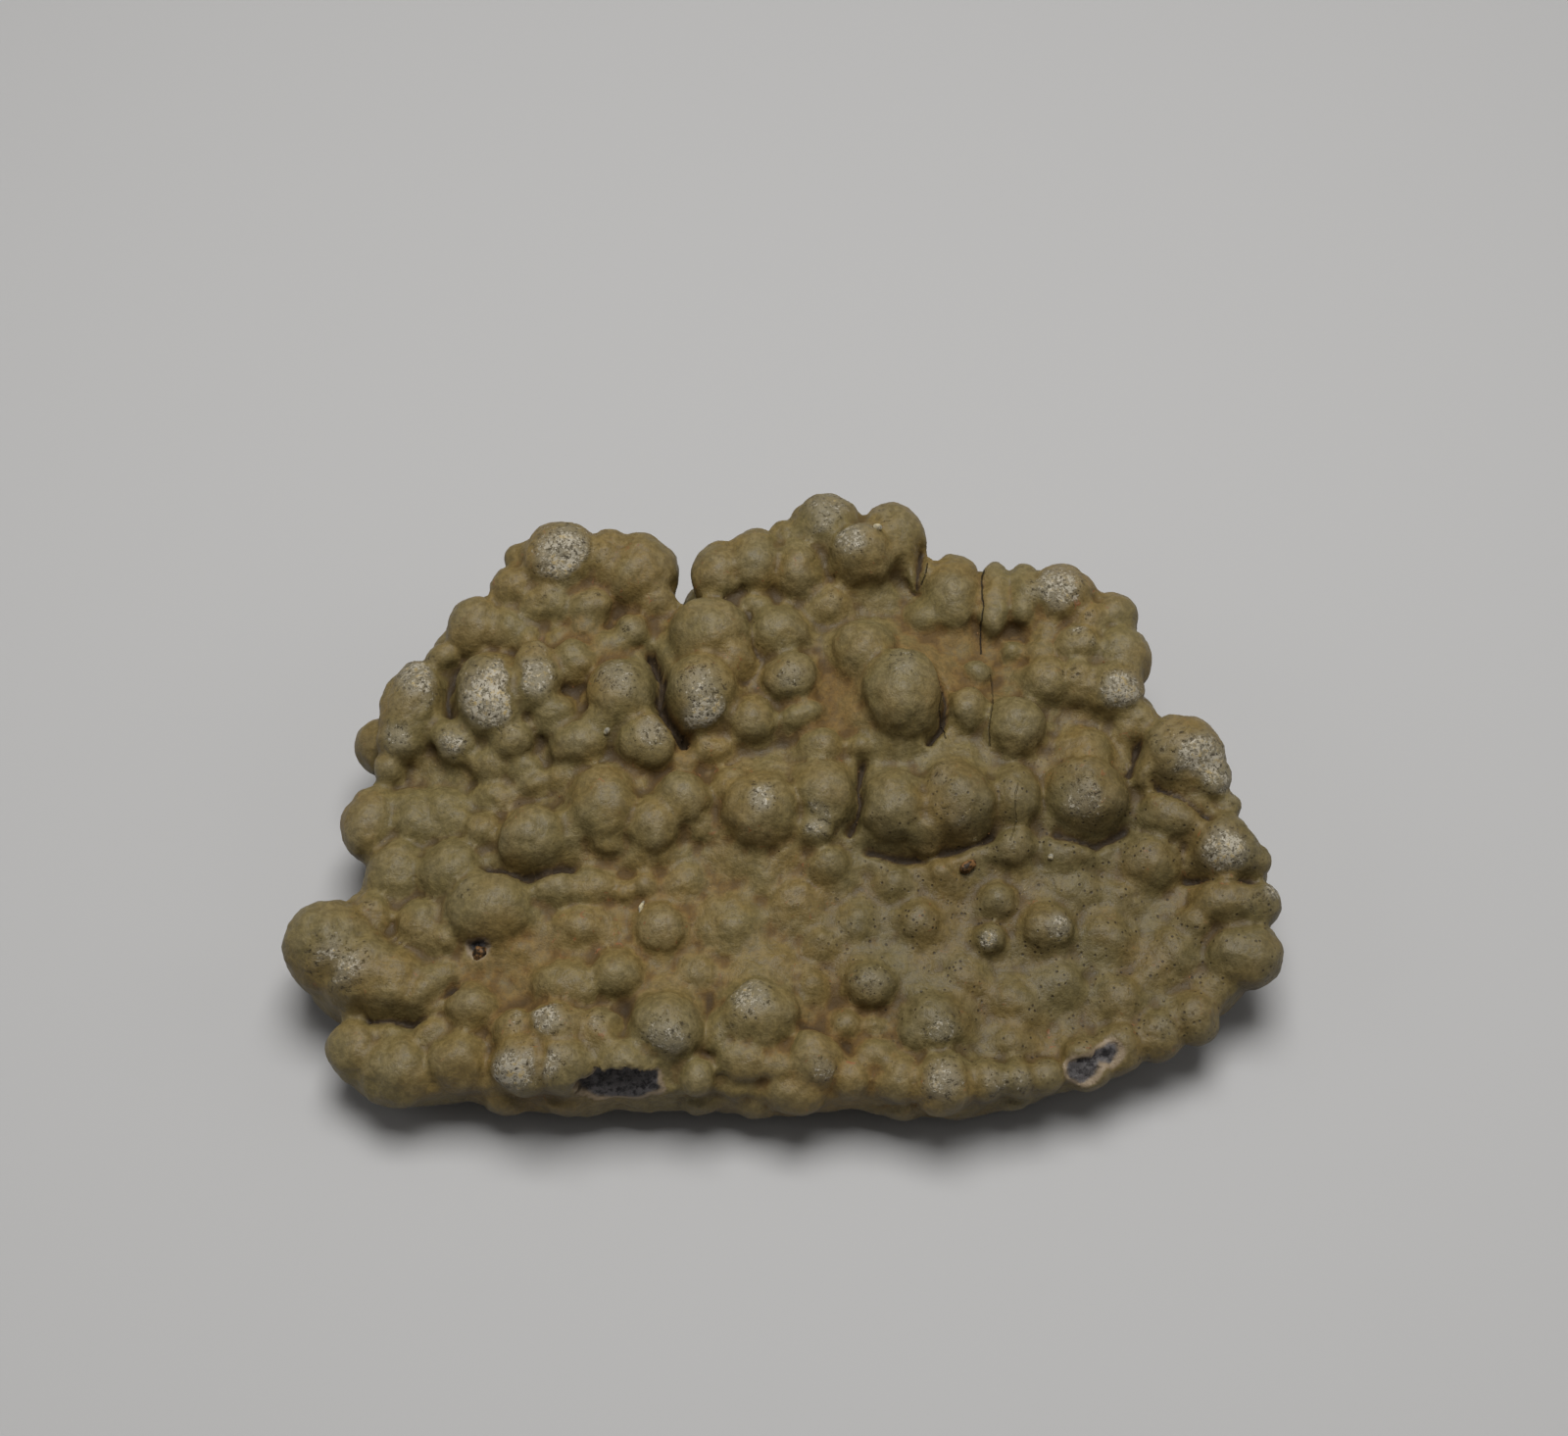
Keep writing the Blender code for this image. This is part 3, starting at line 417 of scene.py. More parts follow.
def way_to_line(x, y, points):
    """Distance in plan from places to a line through some points."""
    nearest = np.full(np.shape(x), np.inf)
    for (ax, ay), (bx, by) in zip(points, points[1:]):
        run = (bx - ax) ** 2 + (by - ay) ** 2
        t = np.clip(((x - ax) * (bx - ax) + (y - ay) * (by - ay)) / run, 0.0, 1.0)
        nearest = np.minimum(nearest, np.hypot(x - ax - t * (bx - ax), y - ay - t * (by - ay)))
    return nearest


def groove_depth(x, y):
    """How deep the narrow gaps cut in at places in plan."""
    depth = np.zeros(np.shape(x))
    for half_width, deep, *points in GROOVES:
        depth += deep * np.exp(-(way_to_line(x, y, points) / half_width) ** 2)
    return depth


ground_height = blended_height(GROUND, GROUND_REACH)
underside_height = blended_height(UNDERSIDE, UNDERSIDE_REACH)
KNOBS = [knob for region in (HORN_BACK_LEFT, RIDGE_LEFT, FLANK_LEFT, MIDDLE_LEFT, MIDDLE_RIGHT, BACK_MIDDLE,
                             BACK_EDGE, RIGHT_END, LOW_KNOBS, LEFT_LOBE, FRONT_EDGE) for knob in region]
knob_feet = soft_rises(KNOBS, FOOT_REACH, FOOT_RISE)
basin_swell = soft_rises(BASIN, 1.0, BASIN_RISE)


def outline_reach(angles):
    """How far the outline lies from its centre in each direction."""
    steps = np.array(OUTLINE) - np.array(OUTLINE_CENTRE)
    found = np.arctan2(steps[:, 1], steps[:, 0])
    order = np.argsort(found)
    return np.interp(angles, found[order], np.hypot(steps[:, 0], steps[:, 1])[order], period=2 * math.pi)


class Lumps:
    """Overlapping closed shapes, in mm, gathered as arrays until they are fused."""

    def __init__(self):
        self.points = []
        self.faces = []
        self.count = 0
        bm = bmesh.new()
        bmesh.ops.create_icosphere(bm, subdivisions=BALL_SUBDIVISIONS, radius=1.0)
        self.ball = self.taken(bm)

    @staticmethod
    def taken(bm):
        """A bmesh shape as an array of points and one of triangles."""
        bmesh.ops.triangulate(bm, faces=bm.faces)
        points = np.array([vertex.co for vertex in bm.verts])
        faces = np.array([[vertex.index for vertex in face.verts] for face in bm.faces])
        bm.free()
        return points, faces

    def add(self, points, faces):
        self.points.append(points)
        self.faces.append(faces + self.count)
        self.count += len(points)

    def add_ball(self, centre, sizes, turn=0.0):
        """One rounded lump, given by its half lengths and the turn of its long way."""
        points, faces = self.ball
        points = points * np.array(sizes)
        c, s = math.cos(math.radians(turn)), math.sin(math.radians(turn))
        x, y = points[:, 0] * c - points[:, 1] * s, points[:, 0] * s + points[:, 1] * c
        self.add(np.stack([x, y, points[:, 2]], axis=1) + np.array(centre), faces)

    def add_base(self):
        """The base under the knobs: a ball flattened between ground and underside, out to the outline."""
        bm = bmesh.new()
        bmesh.ops.create_uvsphere(bm, u_segments=BASE_SIDES, v_segments=BASE_RINGS, radius=1.0)
        unit, faces = self.taken(bm)
        reach = outline_reach(np.arctan2(unit[:, 1], unit[:, 0]))
        x = OUTLINE_CENTRE[0] + unit[:, 0] * reach
        y = OUTLINE_CENTRE[1] + unit[:, 1] * reach
        top = ground_height(x, y) - BASE_BELOW_GROUND + np.maximum(knob_feet(x, y), basin_swell(x, y))
        bottom = underside_height(x, y)
        middle = (top + bottom) / 2
        level = np.where(unit[:, 2] > 0, top, bottom)
        z = middle + (level - middle) * np.abs(unit[:, 2]) ** RIM_BLUFFNESS
        self.add(np.stack([x, y, z], axis=1), faces)

    def add_knob(self, x, y, radius, rise, stretch=1.0, turn=0.0):
        """A ball, or a cap where it rises less than its radius, with its own middle height."""
        ground = float(ground_height(np.array([x]), np.array([y]))[0])
        if rise > radius:
            wide = deep = radius
            middle = ground + NECK_LIFT * (rise - radius)
            self.add_ball((x, y, middle), (radius * stretch, radius, radius + middle - ground), turn)
        else:
            deep = min((radius * radius + rise * rise) / (2 * rise), rise + CAP_DEPTH)
            wide = radius / math.sqrt(1 - ((deep - rise) / deep) ** 2)
        self.add_ball((x, y, ground + rise - deep), (wide * stretch, wide, deep), turn)

    def mesh(self, name):
        made = bpy.data.meshes.new(name)
        made.from_pydata(np.concatenate(self.points) * MM, [], np.concatenate(self.faces))
        return made


def camera_turn():
    """The photo camera's right, up and forward ways."""
    down, right_turn, roll = (math.radians(a) for a in (LOOK_DOWN, LOOK_RIGHT, ROLL))
    ahead = math.cos(down)
    forward = Vector((math.sin(right_turn) * ahead, math.cos(right_turn) * ahead, -math.sin(down)))
    level = Vector((math.cos(right_turn), -math.sin(right_turn), 0.0))
    above = level.cross(forward)
    right = level * math.cos(roll) + above * math.sin(roll)
    up = above * math.cos(roll) - level * math.sin(roll)
    return right, up, forward


def picture_places(points):
    """Columns and rows of the photo at which points, in mm, show."""
    right, up, forward = (np.array(way) for way in camera_turn())
    away = points - np.array(EYE)
    depth = away @ forward
    columns = PICTURE[0] / 2 + FOCAL * (away @ right) / depth
    rows = PICTURE[1] / 2 - FOCAL * (away @ up) / depth
    return columns, rows


class Skin:
    """A mesh as arrays, for measuring and moving its points."""

    def __init__(self, mesh):
        self.mesh = mesh
        count = len(mesh.vertices)
        self.points = np.empty(count * 3)
        mesh.vertices.foreach_get("co", self.points)
        self.points = self.points.reshape(-1, 3) / MM
        edges = np.empty(len(mesh.edges) * 2, np.int64)
        mesh.edges.foreach_get("vertices", edges)
        edges = edges.reshape(-1, 2)
        self.one = np.concatenate([edges[:, 0], edges[:, 1]])
        self.other = np.concatenate([edges[:, 1], edges[:, 0]])
        self.neighbours = np.maximum(np.bincount(self.one, minlength=count), 1)

    def around(self, values):
        """The mean of each point's neighbours."""
        if values.ndim == 1:
            return np.bincount(self.one, values[self.other], len(self.neighbours)) / self.neighbours
        return np.stack([self.around(values[:, i]) for i in range(values.shape[1])], axis=1)

    def smoothed(self, values, steps):
        """Values drawn halfway to their neighbours, some times over."""
        for _ in range(steps):
            values = values + 0.5 * (self.around(values) - values)
        return values

    def standing_out(self, steps):
        """How far each point stands out of the skin smoothed by some steps, in mm."""
        return ((self.points - self.smoothed(self.points, steps)) * self.normals()).sum(axis=1)

    def normals(self):
        """Which way the skin faces at each point."""
        self.store()
        found = np.empty(len(self.points) * 3)
        self.mesh.vertex_normals.foreach_get("vector", found)
        return found.reshape(-1, 3)

    def store(self):
        """Puts the moved points back in the mesh."""
        self.mesh.vertices.foreach_set("co", (self.points * MM).ravel())
        self.mesh.update()

    def write(self, name, values):
        """Keeps one value from 0 to 1 for each point, under a name that the finish reads."""
        attribute = self.mesh.attributes.new(name, "FLOAT", "POINT")
        attribute.data.foreach_set("value", np.clip(values, 0.0, 1.0).astype(np.float32))


def step(low, high, values):
    """A smooth rise from 0 at one value to 1 at the other, which may be the lower one."""
    t = np.clip((values - low) / (high - low), 0.0, 1.0)
    return t * t * (3 - 2 * t)


def evaluated_mesh(thing):
    return bpy.data.meshes.new_from_object(thing.evaluated_get(bpy.context.evaluated_depsgraph_get()))


def placed(name, mesh, material):
    """An object at the origin that holds a finished mesh."""
    thing = bpy.data.objects.new(name, mesh)
    bpy.context.scene.collection.objects.link(thing)
    mesh.materials.clear()
    mesh.materials.append(material)
    return thing


def displace(thing, kind, size, strength):
    """Moves a skin's points in and out by a natural pattern of one size, in mm."""
    pattern = bpy.data.textures.new(kind.lower(), kind)
    pattern.noise_scale = size * MM
    modifier = thing.modifiers.new(kind.lower(), "DISPLACE")
    modifier.texture = pattern
    modifier.texture_coords = "LOCAL"
    modifier.strength = strength * MM
    modifier.mid_level = 0.5


def fuse(name, lumps, voxel):
    """Overlapping lumps made one skin, at cells of some metres."""
    thing = bpy.data.objects.new(name, lumps.mesh(name))
    bpy.context.scene.collection.objects.link(thing)
    skin = thing.modifiers.new("skin", "REMESH")
    skin.mode = "VOXEL"
    skin.voxel_size = voxel
    smooth = thing.modifiers.new("soften", "SMOOTH")
    smooth.factor = SKIN_SMOOTHING
    smooth.iterations = SKIN_SMOOTHING_STEPS
    for pattern in SKIN_PATTERNS:
        displace(thing, *pattern)
    made = evaluated_mesh(thing)
    bpy.data.objects.remove(thing)
    return made


class Shade:
    """One socket's value, so that shader maths reads as a sum."""

    def __init__(self, make, socket):
        self.make = make
        self.socket = socket

    def _maths(self, operation, *values):
        return self.make("ShaderNodeMath", {"operation": operation}, dict(enumerate(values)))

    def __add__(self, other):
        return self._maths("ADD", self, other)

    __radd__ = __add__

    def __sub__(self, other):
        return self._maths("SUBTRACT", self, other)

    def __rsub__(self, other):
        return self._maths("SUBTRACT", other, self)

    def __mul__(self, other):
        return self._maths("MULTIPLY", self, other)

    __rmul__ = __mul__

    def __abs__(self):
        return self._maths("ABSOLUTE", self)

    def least(self, other):
        return self._maths("MINIMUM", self, other)

    def most(self, other):
        return self._maths("MAXIMUM", self, other)


class Nodes:
    """A node tree being built: most of its nodes come from make."""

    def __init__(self, tree):
        self.tree = tree

    def make(self, kind, settings, sockets, output=0):
        """One node with its settings, values and links, given back as the value of one output."""
        node = self.tree.nodes.new(kind)
        for key, value in settings.items():
            setattr(node, key, value)
        for key, value in sockets.items():
            if isinstance(value, Shade):
                self.tree.links.new(value.socket, node.inputs[key])
            else:
                node.inputs[key].default_value = value
        return Shade(self.make, node.outputs[output]) if node.outputs else node


class Finish(Nodes):
    """A material being built."""

    def __init__(self, name):
        self.material = bpy.data.materials.new(name)
        self.material.use_nodes = True
        super().__init__(self.material.node_tree)
        self.tree.nodes.clear()
        self.places = self.make("ShaderNodeTexCoord", {}, {}, "Object")
        self.colour = None

    def attribute(self, name):
        return self.make("ShaderNodeAttribute", {"attribute_name": name}, {}, "Fac")

    def noise(self, size, detail=4.0, roughness=0.6, distortion=0.0):
        """A cloudy pattern whose features are about size mm across."""
        sockets = {"Vector": self.places, "Scale": 1.0 / (size * MM), "Detail": detail,
                   "Roughness": roughness, "Distortion": distortion}
        return self.make("ShaderNodeTexNoise", {}, sockets, "Fac")

    def cells(self, size):
        """How far a point lies from the nearest of dots about size mm apart."""
        sockets = {"Vector": self.places, "Scale": 1.0 / (size * MM)}
        return self.make("ShaderNodeTexVoronoi", {}, sockets, "Distance")

    def between(self, low, high, value):
        """A smooth rise from 0 at one value to 1 at the other, which may be the lower one."""
        sockets = {"Value": value, "From Min": low, "From Max": high, "To Min": 0.0, "To Max": 1.0}
        return self.make("ShaderNodeMapRange", {"interpolation_type": "SMOOTHSTEP"}, sockets)

    def vectors(self, operation, one, other, output="Vector"):
        return self.make("ShaderNodeVectorMath", {"operation": operation}, {0: one, 1: other}, output)

    def blend(self, share, one, other, kind="MIX"):
        """One colour over another by a share."""
        names = {"data_type": "RGBA", "blend_type": kind}
        return self.make("ShaderNodeMix", names, {"Factor": share, 6: one, 7: other}, 2)

    def lay(self, share, colour, kind="MIX"):
        """Lays one more colour over the finish's colour so far."""
        self.colour = self.blend(share, self.colour, colour, kind)

    def bump(self, height, distance, strength):
        """Relief of some mm, seen only in how the light falls."""
        sockets = {"Height": height, "Distance": distance * MM, "Strength": strength}
        return self.make("ShaderNodeBump", {}, sockets, "Normal")

    def finish(self, constants, **links):
        """The material, with its shader's fixed values and its varying ones."""
        shader = self.tree.nodes.new("ShaderNodeBsdfPrincipled")
        for key, value in constants.items():
            shader.inputs[key].default_value = value
        for key, value in links.items():
            self.tree.links.new(value.socket, shader.inputs[key.replace("_", " ")])
        output = self.tree.nodes.new("ShaderNodeOutputMaterial")
        self.tree.links.new(shader.outputs[0], output.inputs["Surface"])
        return self.material


def crack_mask(finish):
    """Dark hairlines: each stretch is a sheet through the camera's eye, cut to length, wavering a little."""
    right, up, forward = camera_turn()
    eye = Vector(EYE) * MM
    waver = (finish.noise(1.2, 2.0) - 0.5) * CRACK_WAVER
    mask = None
    for strength, *points in CRACKS:
        for one, other in zip(points, points[1:]):
            ways = [(forward * FOCAL + right * (c - PICTURE[0] / 2) - up * (r - PICTURE[1] / 2)).normalized()
                    for c, r in (one, other)]
            across = ways[0].cross(ways[1]).normalized()
            first, last = across.cross(ways[0]).normalized(), across.cross(ways[1]).normalized()
            away = finish.vectors("SUBTRACT", finish.places, eye)
            side, start, end = (finish.vectors("DOT_PRODUCT", away, way, "Value")
                                for way in (across, first, last))
            line = 1.0 - finish.between(*CRACK_EDGE, abs(side + waver))
            part = line * strength * finish.between(0.0, CRACK_END, start * end * -1.0)
            mask = part if mask is None else mask.most(part)
    return mask


def stone_finish(look):
    """Satin olive-grey skin, scuffed on its knob tops, with dusty creases and dark rock in its breaks;
    painted shade darkens its creases and the band near the floor, and a painted sheen greys its knob tops in
    part.
    """
    f = Finish("sphalerite_skin")
    crease, crown, scuff, under, scar, speckle, dust, low = (
        f.attribute(n) for n in ("crease", "crown", "scuff", "under", "scar", "speckle", "dust", "low"))
    broad, cloud, fine = f.noise(7.0, 2.0), f.noise(2.2, 4.0, 0.65), f.noise(0.55, 4.0, 0.7)
    grain = f.noise(0.30, 3.0, 0.75)
    f.colour = f.blend(f.between(0.35, 0.65, broad), look["olive"], look["olive_warm"])
    # Greyer knob tops: partly the knobs' own tone, partly a painted sheen on their tops.
    f.lay((f.between(0.45, 0.65, cloud) * 0.35 + crown * 0.60).least(1.0), look["grey"])
    dusty = f.between(0.25, 1.05, crease * 0.9 + dust * 0.75 + (cloud - 0.5) * 1.1)
    f.lay(dusty * 0.75, look["ochre"])
    f.lay(speckle * 0.9, SPECKLE_TINT, "MULTIPLY")
    # Painted shade: the colour is multiplied darker along the creases.
    f.lay(f.between(0.05, 0.60, crease), CREASE_SHADE_TINT, "MULTIPLY")
    # Painted shade: the deepest creases and gaps go nearly black with the crease brown.
    deep = f.between(0.40, 0.95, crease + (fine - 0.5) * 0.4)
    f.lay(deep * 0.9, look["crease"])
    mottle = f.blend(f.between(0.34, 0.66, fine), *MOTTLE_TINTS)
    f.lay(1.0, mottle, "MULTIPLY")
    flecks = f.noise(0.9, 3.0, 0.75, distortion=0.8)
    rust = f.between(0.63, 0.70, flecks) * f.between(0.48, 0.60, broad)
    f.lay(rust * 0.75, look["rust"])
    straw = f.between(0.68, 0.74, grain) * f.between(0.42, 0.56, cloud)
    f.lay(straw * 0.75, look["straw"])
    dots = f.cells(0.55)
    specks = f.between(0.27, 0.12, dots) * f.between(0.44, 0.54, cloud) * (speckle * 0.75 + 0.25)
    pits = f.between(0.30, 0.24, grain)
    f.lay(specks.most(pits * 0.8) * 0.85, look["crease"])
    film = f.between(0.15, 0.75, scuff + (cloud - 0.5) * 0.8) * scuff
    f.lay(film * 0.50, look["scuff_grey"])
    rubbed = f.between(0.05, 0.35, scuff)
    worn = f.between(0.545, 0.61, grain * 0.45 + flecks * 0.35 + scuff * 0.20) * rubbed
    flake = f.blend(f.between(0.50, 0.66, fine), look["scuff"], look["straw"])
    f.lay(worn * 0.85, flake)
    pepper = f.between(0.45, 0.37, grain * 0.6 + fine * 0.4) * rubbed
    f.lay(pepper * 0.75, look["crease"])
    flat = f.make("ShaderNodeMapping", {}, {"Vector": f.places, "Scale": BAND_STRETCH})
    bands = f.make("ShaderNodeTexNoise", {}, {"Vector": flat, "Scale": BAND_SCALE, "Detail": 2.0}, "Fac")
    # Painted shade: the band near the floor, under the front knobs, is multiplied darker.
    f.lay(low * 0.85, LOW_SHADE_TINT, "MULTIPLY")
    rock = f.blend(f.between(0.42, 0.58, bands), look["rock"], look["rock_band"])
    rock = f.blend(f.between(0.5, 0.7, fine) * 0.5, rock, look["rock_light"])
    f.lay(under, rock)
    f.lay(f.between(0.05, 0.35, scar), look["scar_rim"])
    broken = f.blend(f.between(0.38, 0.58, fine), look["scar"], look["scar_edge"])
    f.lay(f.between(0.55, 0.95, scar), broken)
    cracks = crack_mask(f) * (1.0 - under)
    f.lay(cracks * 0.9, CRACK_COLOUR)
    roughness = 0.52 - crown * 0.06 + dusty * 0.25 + (fine - 0.5) * 0.35 - worn * 0.08 + under * 0.2
    relief = f.bump(cloud * 0.15 + fine * 0.08 + grain * 0.05 + worn * 0.03 - pepper * 0.05 - specks * 0.04
                    - cracks * 0.25, 1.0, 0.8)
    return f.finish({"Metallic": 0.0, "Specular IOR Level": 0.35}, Base_Color=f.colour,
                    Roughness=roughness.most(0.25).least(0.95), Normal=relief)


def colour_property(name, description, *default):
    """A colour that the panel shows."""
    return bpy.props.FloatVectorProperty(name=name, description=description, default=(*default, 1.0),
                                         size=4, subtype="COLOR", min=0.0, max=4.0)


class CrustSettings(bpy.types.PropertyGroup):
    voxel: bpy.props.FloatProperty(
        name="Skin fineness", description="Size of the cells the skin is fused at", default=0.37 * MM,
        unit="LENGTH", precision=5)


class FinishSettings(bpy.types.PropertyGroup):
    olive: colour_property("Olive", "The skin's main colour", 0.16, 0.124, 0.046)
    olive_warm: colour_property("Warm olive", "Warmer patches of the skin", 0.182, 0.124, 0.038)
    # Knob grey is partly the knobs' own greyer tone, partly a painted sheen on their tops.
    grey: colour_property("Knob grey", "Greyer skin on the knobs", 0.18, 0.144, 0.07)
    ochre: colour_property("Ochre dust", "Dust that lies in creases and hollows", 0.18, 0.104, 0.028)
    # Crease brown is the near-black painted shade of the deep creases, and also the dark of the specks, pits,
    # pepper and grain patches.
    crease: colour_property("Crease brown", "The dark of the deep creases", 0.022, 0.013, 0.005)
    rust: colour_property("Rust", "Small rusty flecks", 0.24, 0.09, 0.03)
    scuff: colour_property("Scuff", "Pale scuffed mineral on knob tops", 0.42, 0.375, 0.285)
    straw: colour_property("Straw", "Small yellowish flecks", 0.42, 0.31, 0.13)
    scuff_grey: colour_property("Grey scuff", "Silvery scuffed mineral", 0.24, 0.222, 0.175)
    rock: colour_property("Rock", "The broken underside", 0.09, 0.072, 0.048)
    rock_band: colour_property("Rock band", "Growth bands of the underside", 0.13, 0.1, 0.06)
    rock_light: colour_property("Rock light", "Pale grains of the underside", 0.24, 0.205, 0.15)
    scar: colour_property("Scar", "Fresh dark mineral in the breaks", 0.018, 0.016, 0.017)
    scar_edge: colour_property("Scar grain", "Lighter grain in the breaks", 0.1, 0.092, 0.092)
    brown_grain: colour_property("Brown grain", "Rusty brown grains", 0.21, 0.105, 0.036)
    pale_grain: colour_property("Pale grain", "Pale yellowish grains", 0.52, 0.45, 0.28)
    scar_rim: colour_property("Scar rim", "The pale edge round a break", 0.27, 0.205, 0.13)


class GritSettings(bpy.types.PropertyGroup):
    density: bpy.props.FloatProperty(
        name="Grit density", description="Grains of grit on a square metre of crease", default=220000.0,
        min=0.0)
    size: bpy.props.FloatProperty(
        name="Grit size", description="Half the width of a middling grain", default=0.085 * MM,
        unit="LENGTH", precision=5)
    seed: bpy.props.IntProperty(name="Grit seed", description="Fixes where the grains fall", default=7)


class StageSettings(bpy.types.PropertyGroup):
    floor: colour_property("Floor", "The plain pale floor", 0.46, 0.455, 0.45)
    key: bpy.props.FloatProperty(
        name="Main light", description="Strength of the large light overhead", default=1.72, unit="POWER")
    fill: bpy.props.FloatProperty(
        name="Side light", description="Strength of each side light", default=0.20, unit="POWER")
    surround: bpy.props.FloatProperty(
        name="Surround", description="Strength of the even light all round", default=0.10,
        subtype="FACTOR")


def colours_of(settings):
    """The finish's colours by name."""
    return {name: tuple(getattr(settings, name)) for name in settings.__annotations__}


def break_open(skin):
    """Flattens the skin to a facet at each broken place, and tells which points lie in a facet."""
    scar = np.zeros(len(skin.points))
    for middle, faces, half_width, half_height, depth in BREAKS:
        way = np.array(faces) / np.linalg.norm(faces)
        along = np.cross((0.0, 0.0, 1.0), way)
        along /= np.linalg.norm(along)
        away = skin.points - np.array(middle)
        out, left, high = away @ way, away @ along, away @ np.cross(way, along)
        lens = np.abs(left / half_width) ** BREAK_POINTEDNESS + (high / half_height) ** 2
        ragged = 0.10 * np.sin(left * 2.9 + high * 2.1) + 0.06 * np.sin(left * 6.7 - high * 5.3)
        near = (lens + ragged < 1.0) & (np.abs(out) < BREAK_REACH)
        uneven = 0.10 * np.sin(left * 3.3) * np.cos(high * 4.1)
        facet = np.percentile(out[near], BREAK_LEVEL) - depth + uneven + BREAK_SLANT * left
        hit = near & (out > facet)
        skin.points[hit] -= way * (out - facet)[hit, None]
        scar = np.maximum(scar, hit * 1.0)
    return scar


def fill_pits(skin):
    """Lifts the bottoms of deep pits part of the way."""
    sunk = -skin.standing_out(PIT_STEPS)
    fill = np.maximum(sunk - PIT_DEPTH, 0.0) * PIT_FILL * step(*UPWARD, skin.normals()[:, 2])
    skin.points[:, 2] += skin.smoothed(fill, PIT_EDGE_STEPS)


def sharpen(skin):
    """Deepens the creases, crowns the knobs a little and cuts the narrow gaps, whose depths it tells."""
    normals = skin.normals()
    relief = np.clip(skin.standing_out(RELIEF_STEPS), *RELIEF_MOST)
    relief = relief * CRISPNESS * step(-0.3, 0.2, normals[:, 2])
    skin.points += normals * relief[:, None]
    x, y, z = skin.points.T
    gap = groove_depth(x, y) * step(*UPWARD, normals[:, 2]) * step(*GAP_LEVEL, z)
    skin.points[:, 2] -= gap
    return gap


def scuffed(skin, normals, large):
    """How scuffed each point is: knob tops that the photo shows pale, and that face its camera."""
    columns, rows = picture_places(skin.points)
    scuff = np.zeros(len(skin.points))
    for column, row, reach, strength in SCUFFS:
        away = np.hypot(columns - column, rows - row) / (reach * SCUFF_SPREAD)
        scuff = np.maximum(scuff, strength * (1 - step(0.35, 1.25, away)))
    facing = step(0.0, 0.35, normals @ -np.array(camera_turn()[2]))
    return np.minimum(scuff * SCUFF_STRENGTH, 1.0) * facing * step(-0.1, 0.35, large)


def dusted(skin, normals, large):
    """How much dust lies at each point: in the hollows of the dusty places, on what faces up."""
    x, y = skin.points[:, 0], skin.points[:, 1]
    dust = np.zeros(len(skin.points))
    for across, along, reach, thick in DUST:
        dust = np.maximum(dust, thick * step(1.6, 0.4, np.hypot(x - across, y - along) / reach))
    return dust * step(-0.25, 0.25, normals[:, 2]) * step(0.6, -0.1, large)


def mark_skin(mesh):
    """Shapes the skin's details, and gives it the attributes that its finish reads."""
    skin = Skin(mesh)
    fill_pits(skin)
    gap = sharpen(skin)
    scar = break_open(skin)
    skin.points[:, 2] = np.maximum(skin.points[:, 2], 0.0)
    normals = skin.normals()
    small, large = skin.standing_out(SMALL_STEPS), skin.standing_out(LARGE_STEPS)
    x, y, z = skin.points.T
    # The crease mark, from hollows and the deep gaps, lays ochre dust and grit, and sets the painted shade of
    # the creases.
    hollow = step(0.03, 0.16, -small) * 0.45 + step(0.10, 1.2, -large) * 0.45
    skin.write("crease", hollow + step(*GAP_DARK, gap) * 0.7)
    skin.write("crown", step(0.15, 1.2, large))
    skin.write("scuff", scuffed(skin, normals, large))
    skin.write("under", 1 - step(-0.45, 0.05, normals[:, 2] + 0.1 * np.sin(x) * np.sin(y)))
    skin.write("scar", skin.smoothed(scar, SCAR_STEPS))
    across, along, squeeze, reach = SPECKLED
    skin.write("speckle", step(*reach, np.hypot(x - across, (y - along) * squeeze)))
    # The low mark tells where the painted shade near the floor goes.
    skin.write("low", step(*LOW_LEVEL, z))
    skin.write("dust", dusted(skin, normals, large))
    skin.store()


def stone_material():
    """The crust's finish, made once."""
    known = bpy.data.materials.get("sphalerite_skin")
    return known or stone_finish(colours_of(bpy.context.scene.specimen_finish))


class SPECIMEN_OT_crust(bpy.types.Operator):
    """Make the crust: base, knobs and lobes fused to one fine skin"""
    bl_idname = "specimen.crust"
    bl_label = "Crust"

    def execute(self, context):
        settings = context.scene.specimen_crust
        lumps = Lumps()
        lumps.add_base()
        for knob in KNOBS:
            lumps.add_knob(*knob)
        for x, y, height, radius in SIDE_LOBES:
            lumps.add_ball((x, y, height), (radius, radius, radius))
        mesh = fuse("crust_skin", lumps, settings.voxel)
        mark_skin(mesh)
        mesh.shade_smooth()
        crust = placed("crust_skin", mesh, stone_material())
        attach(crust, BODY)
        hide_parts(NODE)
        return {"FINISHED"}


def grain_material(name, look):
    """A plain gritty material for the single grains and the grit."""
    known = bpy.data.materials.get(name)
    if known:
        return known
    f = Finish(name)
    patches = look["crease"] if name == "brown_grain" else look["scuff_grey"]
    colour = f.blend(f.between(0.4, 0.6, f.noise(0.4, 3.0)), look[name], patches)
    return f.finish({"Specular IOR Level": 0.3, "Roughness": 0.6}, Base_Color=colour)


